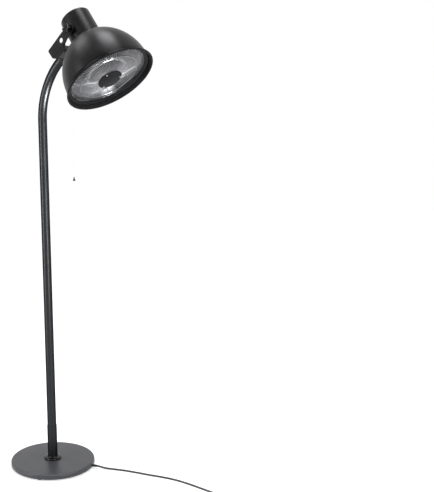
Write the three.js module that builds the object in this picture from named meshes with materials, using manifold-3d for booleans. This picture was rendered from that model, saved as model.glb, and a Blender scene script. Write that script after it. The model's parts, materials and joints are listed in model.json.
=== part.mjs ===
// A free-standing infrared heater: a round weighted base, a pole that curves over at the top, and a
// dome-shaped head with a ring lamp, which tilts in a fork at the end of the pole.
// Millimetres, +Z up. The origin is the middle of the plate under the base, on the pole's axis. The
// rubber feet reach lower than the plate, and the pole curves towards -Y.

import * as THREE from "three";
import { mergeVertices } from "three/addons/utils/BufferGeometryUtils.js";
import Module from "manifold-3d";

const wasm = await Module();
wasm.setup();

// ---------------------------------------------------------------- clearances
const GAP = 0.3; // between pieces that fit in or rest on each other
const STRING_GAP = 0.6; // round the pull string in its guide
const SWING_GAP = 1.3; // between the head's corner and the yoke's cover as it tilts past

// ---------------------------------------------------------------- base
const BASE_RADIUS = 177.5;
const BASE_HEIGHT = 20; // from the plate's underside to the cover's top
const COVER_EDGE = 6; // rounding of the cover's top edge
const COVER_SHEET = 1.5;
const SKIRT_LIFT = 1; // the cover's lower edge stands this far above the plate's underside
const PLATE_MARGIN = 9; // between the plate under the base and the feet round it
const PLATE_SHEET = 1.5;
const POCKET_RADIUS = 70; // hollow under the middle of the weight
const WEB_THICKNESS = 4; // iron left over that hollow
const FLANGE_RADIUS = 55;
const FLANGE_THICKNESS = 4;
const FOOT_COUNT = 5;
const FOOT_INSET = 17.5; // from the base's edge to the middle of a foot
const FOOT_RADIUS = 11;
const FOOT_HEIGHT = 4;
const FOOT_STEM_RADIUS = 4;
const FOOT_STEM_LENGTH = 6;
const FOOT_START = -152.6; // degrees, where the first foot stands
const COLLAR_RADIUS = 36.5;
const COLLAR_HEIGHT = 10;
const COLLAR_EDGE = 3;
const TILT_SWITCH = { length: 26, width: 18, height: 7, x: -38 };

// ---------------------------------------------------------------- pole
const POLE_RADIUS = 19;
const POLE_WALL = 1.5;
const POLE_SEAM = 832; // where the upper pole stands on the lower one
const POLE_STRAIGHT = 1461; // where the bend starts
const BEND_RADIUS = 300;
const BEND_ANGLE = 52; // degrees from upright
const ARM_LENGTH = 177; // from the bend's end to the tilt axis
const SOCKET_TOP = 160;
const SOCKET_WALL = 1.2;
const SLEEVE_LENGTH = 120;
const SLEEVE_WALL = 1.5;
const SPIGOT_LENGTH = 68;
const SPIGOT_ROOM = 3; // between the spigot's end and the hollow's end
const CABLE_RADIUS = 3;

// ---------------------------------------------------------------- yoke
const YOKE_LENGTH = 144; // from the tilt axis to the strap's web
const YOKE_SHEET = 3;
const YOKE_WIDTH = 43;
const YOKE_CHAMFER = 4;
const WEB_INSET = 1; // the web is this much narrower than the cheeks, each side
const LIP_DEPTH = 26; // each cheek's lip, folded in on the dome's side
const LIP_SHEET = 2.2;
const LIP_TOP = -30; // from the tilt axis, where the lip begins
const LIP_FULL = -86; // where it has its full depth
const LIP_NECK_GAP = 3; // between the lip's slope and the neck's side
const CHEEK_HOLE_RADIUS = 10;
const CHEEK_HOLE_AT = 62; // from the tilt axis
const COVER_WALL = 1.5; // of the moulded cover between the cheeks
const COVER_ROUND = 6;
const SWITCH_X = 46; // the pull switch's place, off the pole's axis
const SWITCH_SIZE = { x: 24, y: 26 };
const SWITCH_ROOM = 9.7; // between the switch and the hollow's end
const GUIDE_SIDE = 2.5; // the string guide's place on the web, off the pole's axis
const GUIDE_BEND = 10;
const GUIDE_DROP = 14;
const GUIDE_WALL = 1.8;
const GUIDE_FLANGE = 1.5;
const STRING_RADIUS = 1;
const STRING_IN_GUIDE = 13;
const BELL_TOP = 1217;
const BELL_HEIGHT = 16;
const BELL_RADIUS = 5.5;

// ---------------------------------------------------------------- clamp knobs
const STUD_RADIUS = 4;
const STUD_INSIDE = 6; // how far the stud reaches into the neck
const BOSS_RADIUS = 13;
const BOSS_REACH = 7.9;
const WASHER_RADIUS = 12;
const WASHER_THICKNESS = 1;
const KNOB_RADIUS = 17; // middle of its lobes
const KNOB_LOBES = 6;
const KNOB_LOBE_HEIGHT = 2;
const KNOB_THICKNESS = 13;
const KNOB_HUB_RADIUS = 11;
const KNOB_HUB_LENGTH = 10;
const KNOB_EDGE = 1.6;
const KNOB_SKIN = 4; // plastic over the stud's end

// ---------------------------------------------------------------- head, measured from its rim plane
const HEAD_TILT = 34; // degrees, how far the head leans out at rest
const PIVOT_HEIGHT = 258; // from the rim plane to the tilt axis
const DOME_RADIUS = 174;
const DOME_RISE = 202; // of the whole ellipse that the dome follows
const DOME_FOOT = 22.8; // where the dome is widest
const DOME_SHEET = 1.5;
const DOME_FLANGE = 11; // the dome's inward flange, under the neck
const NECK_RADIUS = 63;
const NECK_RISE = 72; // from the tilt axis to the neck's top
const NECK_EDGE = 5;
const NECK_SHEET = 1.5;
const VENT_COUNT = 8;
const VENT_WIDTH = 4;
const VENT_FROM = 18;
const VENT_TO = 44;
const JOINT_RING_BORE = 38;
const JOINT_RING_SHEET = 2;
const JOINT_RING_HEIGHT = 14;
const RIM_RADIUS = 185;
const RIM_LIP = 7; // width of the rim's front edge
const RIM_EDGE = 1.5;
const RIM_BAND = 4; // height of the upright band behind the front edge
const RIM_STEP = 3; // the rim stands proud of the dome by this much where they meet
const RIM_HEIGHT = 21;
const FRONT_RING_SEAT = 16;
const FRONT_RING_FLANGE = 13;
const FRONT_RING_SHEET = 1;
const FRONT_OPENING = 157.5; // radius of the opening that shows the grille
const FRONT_OPENING_HEIGHT = 21;

// ---------------------------------------------------------------- grille
const WIRE_COUNT = 106;
const WIRE = 1.8; // width and thickness of a wire
const OUTER_RING = 163;
const OUTER_RING_WIDTH = 3;
const MIDDLE_RING = 122;
const MIDDLE_RING_WIDTH = 2;
const INNER_RING = 46;
const INNER_RING_WIDTH = 3;
const INNER_RING_HEIGHT = 6.4;
const DISC_RADIUS = 50;
const DISC_THICKNESS = 2.4;
const DISC_EDGE = 1;
const DISC_POST_RADIUS = 3;
const DISC_POST_CIRCLE = 38;
const DISC_POST_COUNT = 3;
const CLAMP_RADIUS = 49;
const CLAMP_SHEET = 1.5;

// ---------------------------------------------------------------- reflector and lamp
const REFLECTOR_RADIUS = 156;
const REFLECTOR_DEPTH = 66;
const REFLECTOR_SHEET = 1;
const REFLECTOR_FLANGE = 9;
const REFLECTOR_BORE = 8;
const REFLECTOR_LEDGES = [25, 45]; // degrees round the bowl, where it steps in
const REFLECTOR_LEDGE = 4;
const LAMP_CIRCLE = 80;
const LAMP_RADIUS = 6.5;
const LAMP_HEIGHT = 42;
const LAMP_SPREAD = 12; // degrees from the lamp's gap to each of its legs
const LAMP_BEND = 12;
const LAMP_LEG_TOP = 106;
const LAMP_AT = 90; // degrees round the head, where the legs stand
const CAP_WALL = 2.5;
const CAP_FOOT = 85;
const CAP_TOP = 112;
const CLIP_COUNT = 3;
const CLIP_SHEET = 1;
const CLIP_WIDTH = 6;
const SHIELD_RADIUS = 105;
const SHIELD_HEIGHT = 126;
const SHIELD_SHEET = 1;
const SHIELD_LIP = 8;
const SHIELD_BORE = 12;
const POST_COUNT = 3;
const POST_RADIUS = 4;
const POST_CIRCLE = 46;
const TERMINAL = { x: 44, y: 18, z: 16 };

// ---------------------------------------------------------------- mains cord
const CORD_RADIUS = 3.5;
const CORD_SIDES = 8;
const CORD_AT = -66; // degrees round the base, where the cord leaves it
const CORD_HEIGHT = 8.5; // of the cord where it leaves the base
const RELIEF_LENGTH = 24;
const RELIEF_RADIUS = 5.5;
const RELIEF_TIP_RADIUS = 4.4;
const RELIEF_COLLAR_RADIUS = 7;
const RELIEF_COLLAR_LENGTH = 5;
const CHANNEL_TOP = 16;
const CORD_POINTS = [
  // x and y on the floor, and the height of the cord's middle over its place when it lies flat
  [100, -211, 2.2],
  [124, -255, 0],
  [140, -291, 0],
  [156, -339, 0],
  [171, -387, 0],
  [186, -430, 0],
  [199, -474, 0],
  [207, -524, 0],
  [209, -578, 0],
  [208.5, -630, 0],
  [208, -676, 0],
];
const COIL_X = 160;
const COIL_Y = -726;
const COIL_RADIUS = 48; // of the outermost turn's middle
const COIL_PITCH = 7.7;
const COIL_TURNS = 5.4; // in both layers together
const COIL_STEPS = 18; // to a turn
const COIL_SIDES = 6;
const COIL_LIFT = 1.3; // the tie passes under the coil
const TAIL_POINTS = [
  // distance along the cord's last stretch, and height over its place when it lies flat
  [9, 8.6],
  [22, 7.8],
  [36, 5.4],
  [50, 2.6],
  [64, 0.6],
  [78, 0.8],
];
const TAIL_LENGTH = 101;
const TIE_SHEET = 0.8;
const TIE_WIDTH = 8;
const TIE_GAP = 0.4;
const PLUG_THICKNESS = 13.4;
const PLUG_WIDTH = 26;
const PLUG_LENGTH = 34;
const PLUG_TAIL = 14;
const PLUG_EDGE = 2.5;
const PIN_RADIUS = 2.2;
const PIN_LENGTH = 19;
const PIN_SPACING = 15;
const PIN_CARRIER = { width: 21, height: 8, depth: 3 };

// ---------------------------------------------------------------- worked out from the sizes above
const radians = THREE.MathUtils.degToRad;
const ROUND = 40; // sides of the large round pieces, which fit in one another
const FLOOR = -FOOT_HEIGHT;
const FOOT_CIRCLE = BASE_RADIUS - FOOT_INSET;
const PLATE_RADIUS = FOOT_CIRCLE - FOOT_RADIUS - PLATE_MARGIN;
const WEIGHT_TOP = BASE_HEIGHT - COVER_SHEET - GAP;
const FLANGE_TOP = WEIGHT_TOP - WEB_THICKNESS - GAP;
const FLANGE_UNDER = FLANGE_TOP - FLANGE_THICKNESS;
const SOCKET_BORE = POLE_RADIUS + GAP;
const SOCKET_RADIUS = SOCKET_BORE + SOCKET_WALL;
const POLE_BORE = POLE_RADIUS - POLE_WALL;
const SPIGOT_RADIUS = POLE_BORE - GAP;
const BEND = radians(BEND_ANGLE);
const BEND_END = new THREE.Vector3(
  0,
  -BEND_RADIUS * (1 - Math.cos(BEND)),
  POLE_STRAIGHT + BEND_RADIUS * Math.sin(BEND),
);
const ARM_WAY = new THREE.Vector3(0, -Math.sin(BEND), Math.cos(BEND));
const PIVOT = BEND_END.clone().addScaledVector(ARM_WAY, ARM_LENGTH);
const CHEEK_INSIDE = NECK_RADIUS + BOSS_REACH + WASHER_THICKNESS + 2 * GAP;
const CHEEK_OUTSIDE = CHEEK_INSIDE + YOKE_SHEET;
const NECK_TOP = PIVOT_HEIGHT + NECK_RISE;
const COVER_FRONT = Math.hypot(NECK_RADIUS, NECK_RISE) + SWING_GAP;
const COVER_HOLLOW_END = COVER_FRONT + COVER_ROUND;
const SPIGOT_END = COVER_HOLLOW_END + SPIGOT_ROOM; // from the tilt axis
const COVER_HALF = SPIGOT_RADIUS + GAP + COVER_WALL;
const STUD_HOLE = STUD_RADIUS + GAP;
const DOME_TOP = DOME_FOOT + DOME_RISE * Math.sqrt(1 - (NECK_RADIUS / DOME_RADIUS) ** 2);
const RIM_BORE = DOME_RADIUS - DOME_SHEET - GAP;
const GRILLE_EDGE_HEIGHT = FRONT_OPENING_HEIGHT + FRONT_RING_SHEET + GAP + WIRE / 2 + 0.7;
const REFLECTOR_FRONT = GRILLE_EDGE_HEIGHT + WIRE / 2 + GAP;
const CORD_REST = FLOOR + CORD_RADIUS;
const PLUG_REST = FLOOR + PLUG_THICKNESS / 2;
const RELIEF_SEAT = BASE_RADIUS - COVER_SHEET - 3 * GAP; // inside the cover's round skirt
const JOINT_RING_RADIUS = NECK_RADIUS - NECK_SHEET - GAP;

// ---------------------------------------------------------------- making shapes

function toSolid(geometry) {
  const loose = geometry.index ? geometry.toNonIndexed() : geometry;
  const bare = new THREE.BufferGeometry();
  bare.setAttribute("position", loose.getAttribute("position"));
  const merged = mergeVertices(bare);
  const mesh = new wasm.Mesh({
    numProp: 3,
    vertProperties: merged.attributes.position.array,
    triVerts: new Uint32Array(merged.index.array),
  });
  return new wasm.Manifold(mesh);
}

function toGeometry(solid) {
  const mesh = solid.getMesh();
  const geometry = new THREE.BufferGeometry();
  geometry.setAttribute("position", new THREE.Float32BufferAttribute(mesh.vertProperties, 3));
  geometry.setIndex(new THREE.Uint32BufferAttribute(mesh.triVerts, 1));
  geometry.computeVertexNormals();
  return geometry;
}

function joined(...pieces) {
  return toGeometry(pieces.map(toSolid).reduce((whole, piece) => whole.add(piece)));
}

function cut(body, ...tools) {
  return toGeometry(tools.map(toSolid).reduce((whole, tool) => whole.subtract(tool), toSolid(body)));
}

// A solid turned about Z from a closed outline of [radius, height] points.
function turned(outline, sides) {
  const points = outline.map(([radius, height]) => new THREE.Vector2(radius, height));
  if (THREE.ShapeUtils.isClockWise(points)) points.reverse();
  points.push(points[0].clone());
  return new THREE.LatheGeometry(points, sides).rotateX(Math.PI / 2);
}

// The closed outline of a sheet whose one face follows the line. The metal lies to the line's left.
function sheet(line, thickness) {
  const ways = line.slice(1).map(([x, y], i) => {
    return new THREE.Vector2(x - line[i][0], y - line[i][1]).normalize();
  });
  const inside = line.map(([x, y], i) => {
    const before = ways[Math.max(i - 1, 0)];
    const after = ways[Math.min(i, ways.length - 1)];
    const middle = before.clone().add(after).normalize();
    const reach = thickness / middle.dot(after);
    return [x - middle.y * reach, y + middle.x * reach];
  });
  return [...line, ...inside.reverse()];
}

function arc(x, y, radius, from, to, steps) {
  return Array.from({ length: steps + 1 }, (_, i) => {
    const angle = radians(from + ((to - from) * i) / steps);
    return [x + radius * Math.cos(angle), y + radius * Math.sin(angle)];
  });
}

function box(x0, x1, y0, y1, z0, z1) {
  const geometry = new THREE.BoxGeometry(x1 - x0, y1 - y0, z1 - z0);
  return geometry.translate((x0 + x1) / 2, (y0 + y1) / 2, (z0 + z1) / 2);
}

// A round rod between two heights.
function upright(radius, z0, z1, sides) {
  const geometry = new THREE.CylinderGeometry(radius, radius, z1 - z0, sides).rotateX(Math.PI / 2);
  return geometry.translate(0, 0, (z0 + z1) / 2);
}

// A round rod along X.
function crossways(radius, x0, x1, sides) {
  const geometry = new THREE.CylinderGeometry(radius, radius, x1 - x0, sides).rotateZ(-Math.PI / 2);
  return geometry.translate((x0 + x1) / 2, 0, 0);
}

function outline(points) {
  return new THREE.Shape(points.map(([x, y]) => new THREE.Vector2(x, y)));
}

function extruded(shape, depth) {
  return new THREE.ExtrudeGeometry(shape, { depth, bevelEnabled: false, steps: 1 });
}

// Turns an extrusion so that its outline lies in the YZ plane and its depth runs along +X.
const ACROSS = new THREE.Matrix4().makeBasis(
  new THREE.Vector3(0, 1, 0),
  new THREE.Vector3(0, 0, 1),
  new THREE.Vector3(1, 0, 0),
);

// A tube's section, with a bore where one is given.
function section(radius, bore, sides) {
  const turn = 360 - 360 / sides;
  const shape = outline(arc(0, 0, radius, 0, turn, sides - 1));
  if (bore > 0) shape.holes.push(outline(arc(0, 0, bore, 0, turn, sides - 1)));
  return shape;
}

// A way through given points, on which each step ends at a point.
class Route extends THREE.Curve {
  constructor(points) {
    super();
    this.points = points;
  }

  getPoint(t, target = new THREE.Vector3()) {
    const place = THREE.MathUtils.clamp(t, 0, 1) * (this.points.length - 1);
    const i = Math.min(Math.floor(place), this.points.length - 2);
    return target.lerpVectors(this.points[i], this.points[i + 1], place - i);
  }

  getUtoTmapping(u) {
    return u;
  }
}

function swept(shape, points) {
  const path = new Route(points);
  return new THREE.ExtrudeGeometry(shape, { steps: points.length - 1, extrudePath: path });
}

function finish(color, roughness, metalness) {
  return { color, roughness, metalness };
}

const BRUSHED = finish(0x333336, 0.38, 0.85);
const SATIN = finish(0x4b4c4f, 0.5, 0.45);
const BLACK_STEEL = finish(0x141415, 0.35, 0.5);
const GLOSS_BLACK = finish(0x0b0b0c, 0.15, 0.0);
const CHROME = finish(0xd8dadd, 0.1, 1.0);
const ZINC = finish(0x9fa3a8, 0.4, 0.9);
const IRON = finish(0x2b2b2c, 0.7, 0.6);
const RUBBER = finish(0x111111, 0.85, 0.0);
const PLASTIC = finish(0x1a1a1b, 0.45, 0.0);
const QUARTZ = finish(0xe9ecee, 0.05, 0.0);
const CERAMIC = finish(0xe4e0d6, 0.6, 0.0);
const BRASS = finish(0xb5964e, 0.3, 1.0);

function add(group, name, geometry, look) {
  const mesh = new THREE.Mesh(geometry, new THREE.MeshStandardMaterial(look));
  mesh.name = name;
  group.add(mesh);
  return mesh;
}

// ---------------------------------------------------------------- base

function roundTheBase(geometry, radius, degrees) {
  const angle = radians(degrees);
  return geometry.translate(radius * Math.cos(angle), radius * Math.sin(angle), 0);
}

// The strain relief, lying along +X from the base's rim, with its middle on the X axis.
function reliefOutline() {
  const wall = RELIEF_SEAT;
  const tip = BASE_RADIUS + RELIEF_LENGTH;
  return [
    [0, wall - RELIEF_COLLAR_LENGTH],
    [RELIEF_COLLAR_RADIUS, wall - RELIEF_COLLAR_LENGTH],
    [RELIEF_COLLAR_RADIUS, wall],
    [RELIEF_RADIUS, wall],
    [RELIEF_RADIUS, BASE_RADIUS + 3],
    [RELIEF_TIP_RADIUS, tip - 1],
    [RELIEF_TIP_RADIUS - 0.5, tip],
    [0, tip],
  ];
}

function alongTheCord(geometry) {
  return geometry
    .rotateY(Math.PI / 2)
    .translate(0, 0, CORD_HEIGHT)
    .rotateZ(radians(CORD_AT));
}

function makeBase(group) {
  const edge = arc(BASE_RADIUS - COVER_EDGE, BASE_HEIGHT - COVER_EDGE, COVER_EDGE, 0, 90, 3);
  const hole = SOCKET_RADIUS + GAP;
  const cover = turned(
    sheet([[BASE_RADIUS, SKIRT_LIFT], ...edge, [hole, BASE_HEIGHT]], COVER_SHEET),
    ROUND,
  );
  const reliefHole = alongTheCord(
    upright(RELIEF_RADIUS + GAP, BASE_RADIUS - COVER_EDGE, BASE_RADIUS + COVER_EDGE, 12),
  );
  add(group, "base_cover", cut(cover, reliefHole), SATIN);

  const weightRadius = BASE_RADIUS - COVER_SHEET - 2 * GAP;
  const weightEdge = COVER_EDGE - COVER_SHEET;
  const recess = PLATE_SHEET + GAP;
  const weight = turned(
    [
      [PLATE_RADIUS + GAP, 0],
      [weightRadius - 1, 0],
      [weightRadius, 1],
      [weightRadius, WEIGHT_TOP - weightEdge],
      [weightRadius - weightEdge, WEIGHT_TOP],
      [hole, WEIGHT_TOP],
      [hole, WEIGHT_TOP - WEB_THICKNESS],
      [POCKET_RADIUS, WEIGHT_TOP - WEB_THICKNESS],
      [POCKET_RADIUS, recess],
      [PLATE_RADIUS + GAP, recess],
    ],
    ROUND,
  );
  const channel = RELIEF_COLLAR_RADIUS + GAP;
  const channelTool = box(POCKET_RADIUS - 10, BASE_RADIUS, -channel, channel, -1, CHANNEL_TOP);
  const footHoles = footAngles().map((angle) => {
    const hole = upright(FOOT_STEM_RADIUS + GAP, -1, FOOT_STEM_LENGTH + GAP, 10);
    return roundTheBase(hole, FOOT_CIRCLE, angle);
  });
  const cuts = [channelTool.rotateZ(radians(CORD_AT)), ...footHoles];
  add(group, "base_weight", cut(weight, ...cuts), IRON);

  add(group, "base_plate", upright(PLATE_RADIUS, 0, PLATE_SHEET, ROUND), SATIN);

  footAngles().forEach((angle, i) => {
    const foot = turned(
      [
        [0, FLOOR],
        [FOOT_RADIUS - 1, FLOOR],
        [FOOT_RADIUS, FLOOR + 1],
        [FOOT_RADIUS, -GAP],
        [FOOT_STEM_RADIUS, -GAP],
        [FOOT_STEM_RADIUS, FOOT_STEM_LENGTH],
        [0, FOOT_STEM_LENGTH],
      ],
      12,
    );
    add(group, "rubber_foot_" + (i + 1), roundTheBase(foot, FOOT_CIRCLE, angle), RUBBER);
  });

  const flange = turned(
    [
      [CABLE_RADIUS + GAP, FLANGE_UNDER],
      [FLANGE_RADIUS, FLANGE_UNDER],
      [FLANGE_RADIUS, FLANGE_TOP],
      [CABLE_RADIUS + GAP, FLANGE_TOP],
    ],
    20,
  );
  add(group, "pole_flange", flange, ZINC);

  const collarFoot = BASE_HEIGHT + GAP;
  const collarTop = collarFoot + COLLAR_HEIGHT;
  const collar = turned(
    [
      [hole, collarFoot],
      [COLLAR_RADIUS, collarFoot],
      [COLLAR_RADIUS, collarFoot + COLLAR_EDGE],
      [COLLAR_RADIUS - COLLAR_EDGE, collarFoot + 2 * COLLAR_EDGE],
      [hole + COLLAR_EDGE, collarTop - 1],
      [hole + COLLAR_EDGE - 1, collarTop],
      [hole, collarTop],
    ],
    24,
  );
  add(group, "base_collar", collar, GLOSS_BLACK);

  const bottom = PLATE_SHEET + GAP;
  const { length, width, height, x } = TILT_SWITCH;
  const tilt = box(x - length / 2, x + length / 2, -width / 2, width / 2, bottom, bottom + height);
  add(group, "tilt_switch", tilt, PLASTIC);

  add(group, "cord_relief", alongTheCord(turned(reliefOutline(), 14)), RUBBER);
}

function footAngles() {
  return Array.from({ length: FOOT_COUNT }, (_, i) => FOOT_START + (360 / FOOT_COUNT) * i);
}

// ---------------------------------------------------------------- pole

// Points along the pole's axis from a height on its straight stretch to a distance from the tilt axis.
function poleAxis(from, end, steps) {
  const bend = arc(-BEND_RADIUS, POLE_STRAIGHT, BEND_RADIUS, 0, BEND_ANGLE, steps);
  const points = bend.map(([y, z]) => new THREE.Vector3(0, y, z));
  points.unshift(new THREE.Vector3(0, 0, from));
  points.push(PIVOT.clone().addScaledVector(ARM_WAY, -end));
  return points;
}

function tube(radius, wall, z0, z1, sides) {
  return extruded(section(radius, radius - wall, sides), z1 - z0).translate(0, 0, z0);
}

function makePole(group) {
  const foot = FLANGE_TOP + GAP;
  add(group, "pole_socket", tube(SOCKET_RADIUS, SOCKET_WALL, foot, SOCKET_TOP, 24), SATIN);
  add(group, "lower_pole", tube(POLE_RADIUS, POLE_WALL, foot, POLE_SEAM, 18), SATIN);

  const sleeveFoot = POLE_SEAM - SLEEVE_LENGTH / 2;
  const sleeveTop = sleeveFoot + SLEEVE_LENGTH;
  add(group, "pole_sleeve", tube(SPIGOT_RADIUS, SLEEVE_WALL, sleeveFoot, sleeveTop, 16), ZINC);

  const axis = poleAxis(POLE_SEAM + GAP, YOKE_LENGTH + GAP, 10);
  add(group, "upper_pole", swept(section(POLE_RADIUS, POLE_BORE, 18), axis), SATIN);

  const cable = [
    cordPlace(RELIEF_SEAT - RELIEF_COLLAR_LENGTH - GAP, CORD_HEIGHT),
    cordPlace(BASE_RADIUS - 30, CORD_HEIGHT - 2),
    cordPlace(14, PLATE_SHEET + GAP + CABLE_RADIUS),
    cordPlace(4, PLATE_SHEET + GAP + CABLE_RADIUS + 1.2),
    new THREE.Vector3(0, 0, FLANGE_UNDER - 1),
  ];
  const cableEnd = poleAxis(FLANGE_TOP + 10, SPIGOT_END - 2, 8);
  add(group, "inner_cable", swept(section(CABLE_RADIUS, 0, 6), [...cable, ...cableEnd]), PLASTIC);
}

// ---------------------------------------------------------------- yoke

// A place in the yoke's own directions, in the part's frame.
function yokePlace(x, y, z) {
  return new THREE.Vector3(x, y, z).applyAxisAngle(new THREE.Vector3(1, 0, 0), BEND).add(PIVOT);
}

function cheekOutline() {
  const half = YOKE_WIDTH / 2;
  return outline([
    ...arc(0, 0, half, 0, 180, 14),
    [-half, YOKE_CHAMFER - YOKE_LENGTH],
    [YOKE_CHAMFER - half, -YOKE_LENGTH],
    [half - YOKE_CHAMFER, -YOKE_LENGTH],
    [half, YOKE_CHAMFER - YOKE_LENGTH],
  ]);
}

// The yoke's Z axis runs from the pole's end to the tilt axis, and its Y side is the outer one.
function makeYoke(group) {
  const cheeks = [-CHEEK_OUTSIDE, CHEEK_INSIDE].map((x) => {
    const cheek = cheekOutline();
    cheek.holes.push(outline(arc(0, 0, STUD_HOLE, 0, 330, 11)));
    cheek.holes.push(outline(arc(0, -CHEEK_HOLE_AT, CHEEK_HOLE_RADIUS, 0, 340, 17)));
    return extruded(cheek, YOKE_SHEET).applyMatrix4(ACROSS).translate(x, 0, 0);
  });
  const lips = [-1, 1].map((side) => {
    const neckSide = NECK_RADIUS + LIP_NECK_GAP;
    const lip = outline(
      [
        [CHEEK_INSIDE + 1, LIP_TOP],
        [CHEEK_INSIDE + 1, 1 - YOKE_LENGTH],
        [CHEEK_INSIDE - LIP_DEPTH, 1 - YOKE_LENGTH],
        [CHEEK_INSIDE - LIP_DEPTH, LIP_FULL],
        [neckSide, (LIP_TOP + LIP_FULL) / 2],
      ].map(([x, z]) => [side * x, z]),
    );
    const edge = LIP_SHEET - YOKE_WIDTH / 2;
    return extruded(lip, LIP_SHEET).rotateX(Math.PI / 2).translate(0, edge, 0);
  });
  const half = YOKE_WIDTH / 2 - WEB_INSET;
  const webTop = YOKE_SHEET - YOKE_LENGTH;
  const web = box(-CHEEK_OUTSIDE, CHEEK_OUTSIDE, -half, half, -YOKE_LENGTH, webTop);
  const poleHole = upright(SPIGOT_RADIUS + GAP, -YOKE_LENGTH - 1, webTop + 1, 24);
  const stringHole = upright(STRING_RADIUS + STRING_GAP, -YOKE_LENGTH - 1, webTop + 1, 8);
  stringHole.translate(SWITCH_X, GUIDE_SIDE, 0);
  add(group, "yoke_strap", cut(joined(...cheeks, ...lips, web), poleHole, stringHole), BLACK_STEEL);

  const corner = COVER_HALF - COVER_ROUND;
  const foot = webTop + GAP;
  const front = -COVER_FRONT;
  const coverOutline = outline([
    [COVER_HALF, foot],
    ...arc(corner, front - COVER_ROUND, COVER_ROUND, 0, 90, 3),
    ...arc(-corner, front - COVER_ROUND, COVER_ROUND, 90, 180, 3),
    [-COVER_HALF, foot],
  ]);
  const coverLength = 2 * (CHEEK_INSIDE - GAP);
  const cover = extruded(coverOutline, coverLength);
  cover.applyMatrix4(ACROSS).translate(-coverLength / 2, 0, 0);
  const hollow = box(
    COVER_WALL - coverLength / 2,
    coverLength / 2 - COVER_WALL,
    COVER_WALL - COVER_HALF,
    COVER_HALF - COVER_WALL,
    foot - 1,
    -COVER_HOLLOW_END,
  );
  add(group, "yoke_cover", cut(cover, hollow), PLASTIC);

  const { x, y } = SWITCH_SIZE;
  const switchTop = -COVER_HOLLOW_END - SWITCH_ROOM;
  const pullSwitch = box(SWITCH_X - x / 2, SWITCH_X + x / 2, -y / 2, y / 2, foot, switchTop);
  add(group, "pull_switch", pullSwitch, PLASTIC);

  const spigotFoot = -(SPIGOT_END + SPIGOT_LENGTH);
  const spigot = tube(SPIGOT_RADIUS, SLEEVE_WALL, spigotFoot, -SPIGOT_END, 20);
  add(group, "pole_spigot", spigot, ZINC);
}

// The pull string's guide leaves the yoke's web square to it and bends to hang plumb.
function makePullString(group) {
  const seat = yokePlace(SWITCH_X, GUIDE_SIDE, -(YOKE_LENGTH + GAP));
  const flangeEnd = seat.clone().addScaledVector(ARM_WAY, -GUIDE_FLANGE);
  const bend = guideBend(flangeEnd);
  const mouth = bend[bend.length - 1].clone();
  mouth.z -= GUIDE_DROP;
  const bore = STRING_RADIUS + STRING_GAP;
  const guide = swept(section(bore + GUIDE_WALL, bore, 8), [seat, ...bend, mouth]);
  add(group, "string_guide", guide, PLASTIC);

  const stringTop = mouth.z + STRING_IN_GUIDE;
  const stringFoot = BELL_TOP - BELL_HEIGHT / 2;
  const string = upright(STRING_RADIUS, stringFoot, stringTop, 8);
  add(group, "pull_string", string.translate(mouth.x, mouth.y, 0), RUBBER);

  const bell = turned(
    [
      [0, BELL_TOP - BELL_HEIGHT],
      [BELL_RADIUS - 1, BELL_TOP - BELL_HEIGHT],
      [BELL_RADIUS, BELL_TOP - BELL_HEIGHT + 2],
      [BELL_RADIUS * 0.8, BELL_TOP - BELL_HEIGHT * 0.55],
      [BELL_RADIUS * 0.5, BELL_TOP - 3],
      [STRING_RADIUS + GAP + 0.8, BELL_TOP],
      [STRING_RADIUS + GAP, BELL_TOP],
      [STRING_RADIUS + GAP, stringFoot - GAP],
      [0, stringFoot - GAP],
    ],
    12,
  );
  add(group, "pull_bell", bell.translate(mouth.x, mouth.y, 0), GLOSS_BLACK);
}

// Points of a bend that starts down the arm's way and ends plumb.
function guideBend(start) {
  return Array.from({ length: 6 }, (_, i) => {
    const lean = BEND * (1 - i / 5);
    return new THREE.Vector3(
      start.x,
      start.y + GUIDE_BEND * (Math.cos(lean) - Math.cos(BEND)),
      start.z - GUIDE_BEND * (Math.sin(BEND) - Math.sin(lean)),
    );
  });
}

// ---------------------------------------------------------------- clamp, on the tilt axis

// The star knob's outline, with its lobes in a cosine round the middle radius.
function knobOutline(radius) {
  const steps = KNOB_LOBES * 6;
  return outline(
    Array.from({ length: steps }, (_, i) => {
      const angle = (2 * Math.PI * i) / steps;
      const reach = radius + KNOB_LOBE_HEIGHT * Math.cos(KNOB_LOBES * angle);
      return [reach * Math.cos(angle), reach * Math.sin(angle)];
    }),
  );
}

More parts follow.
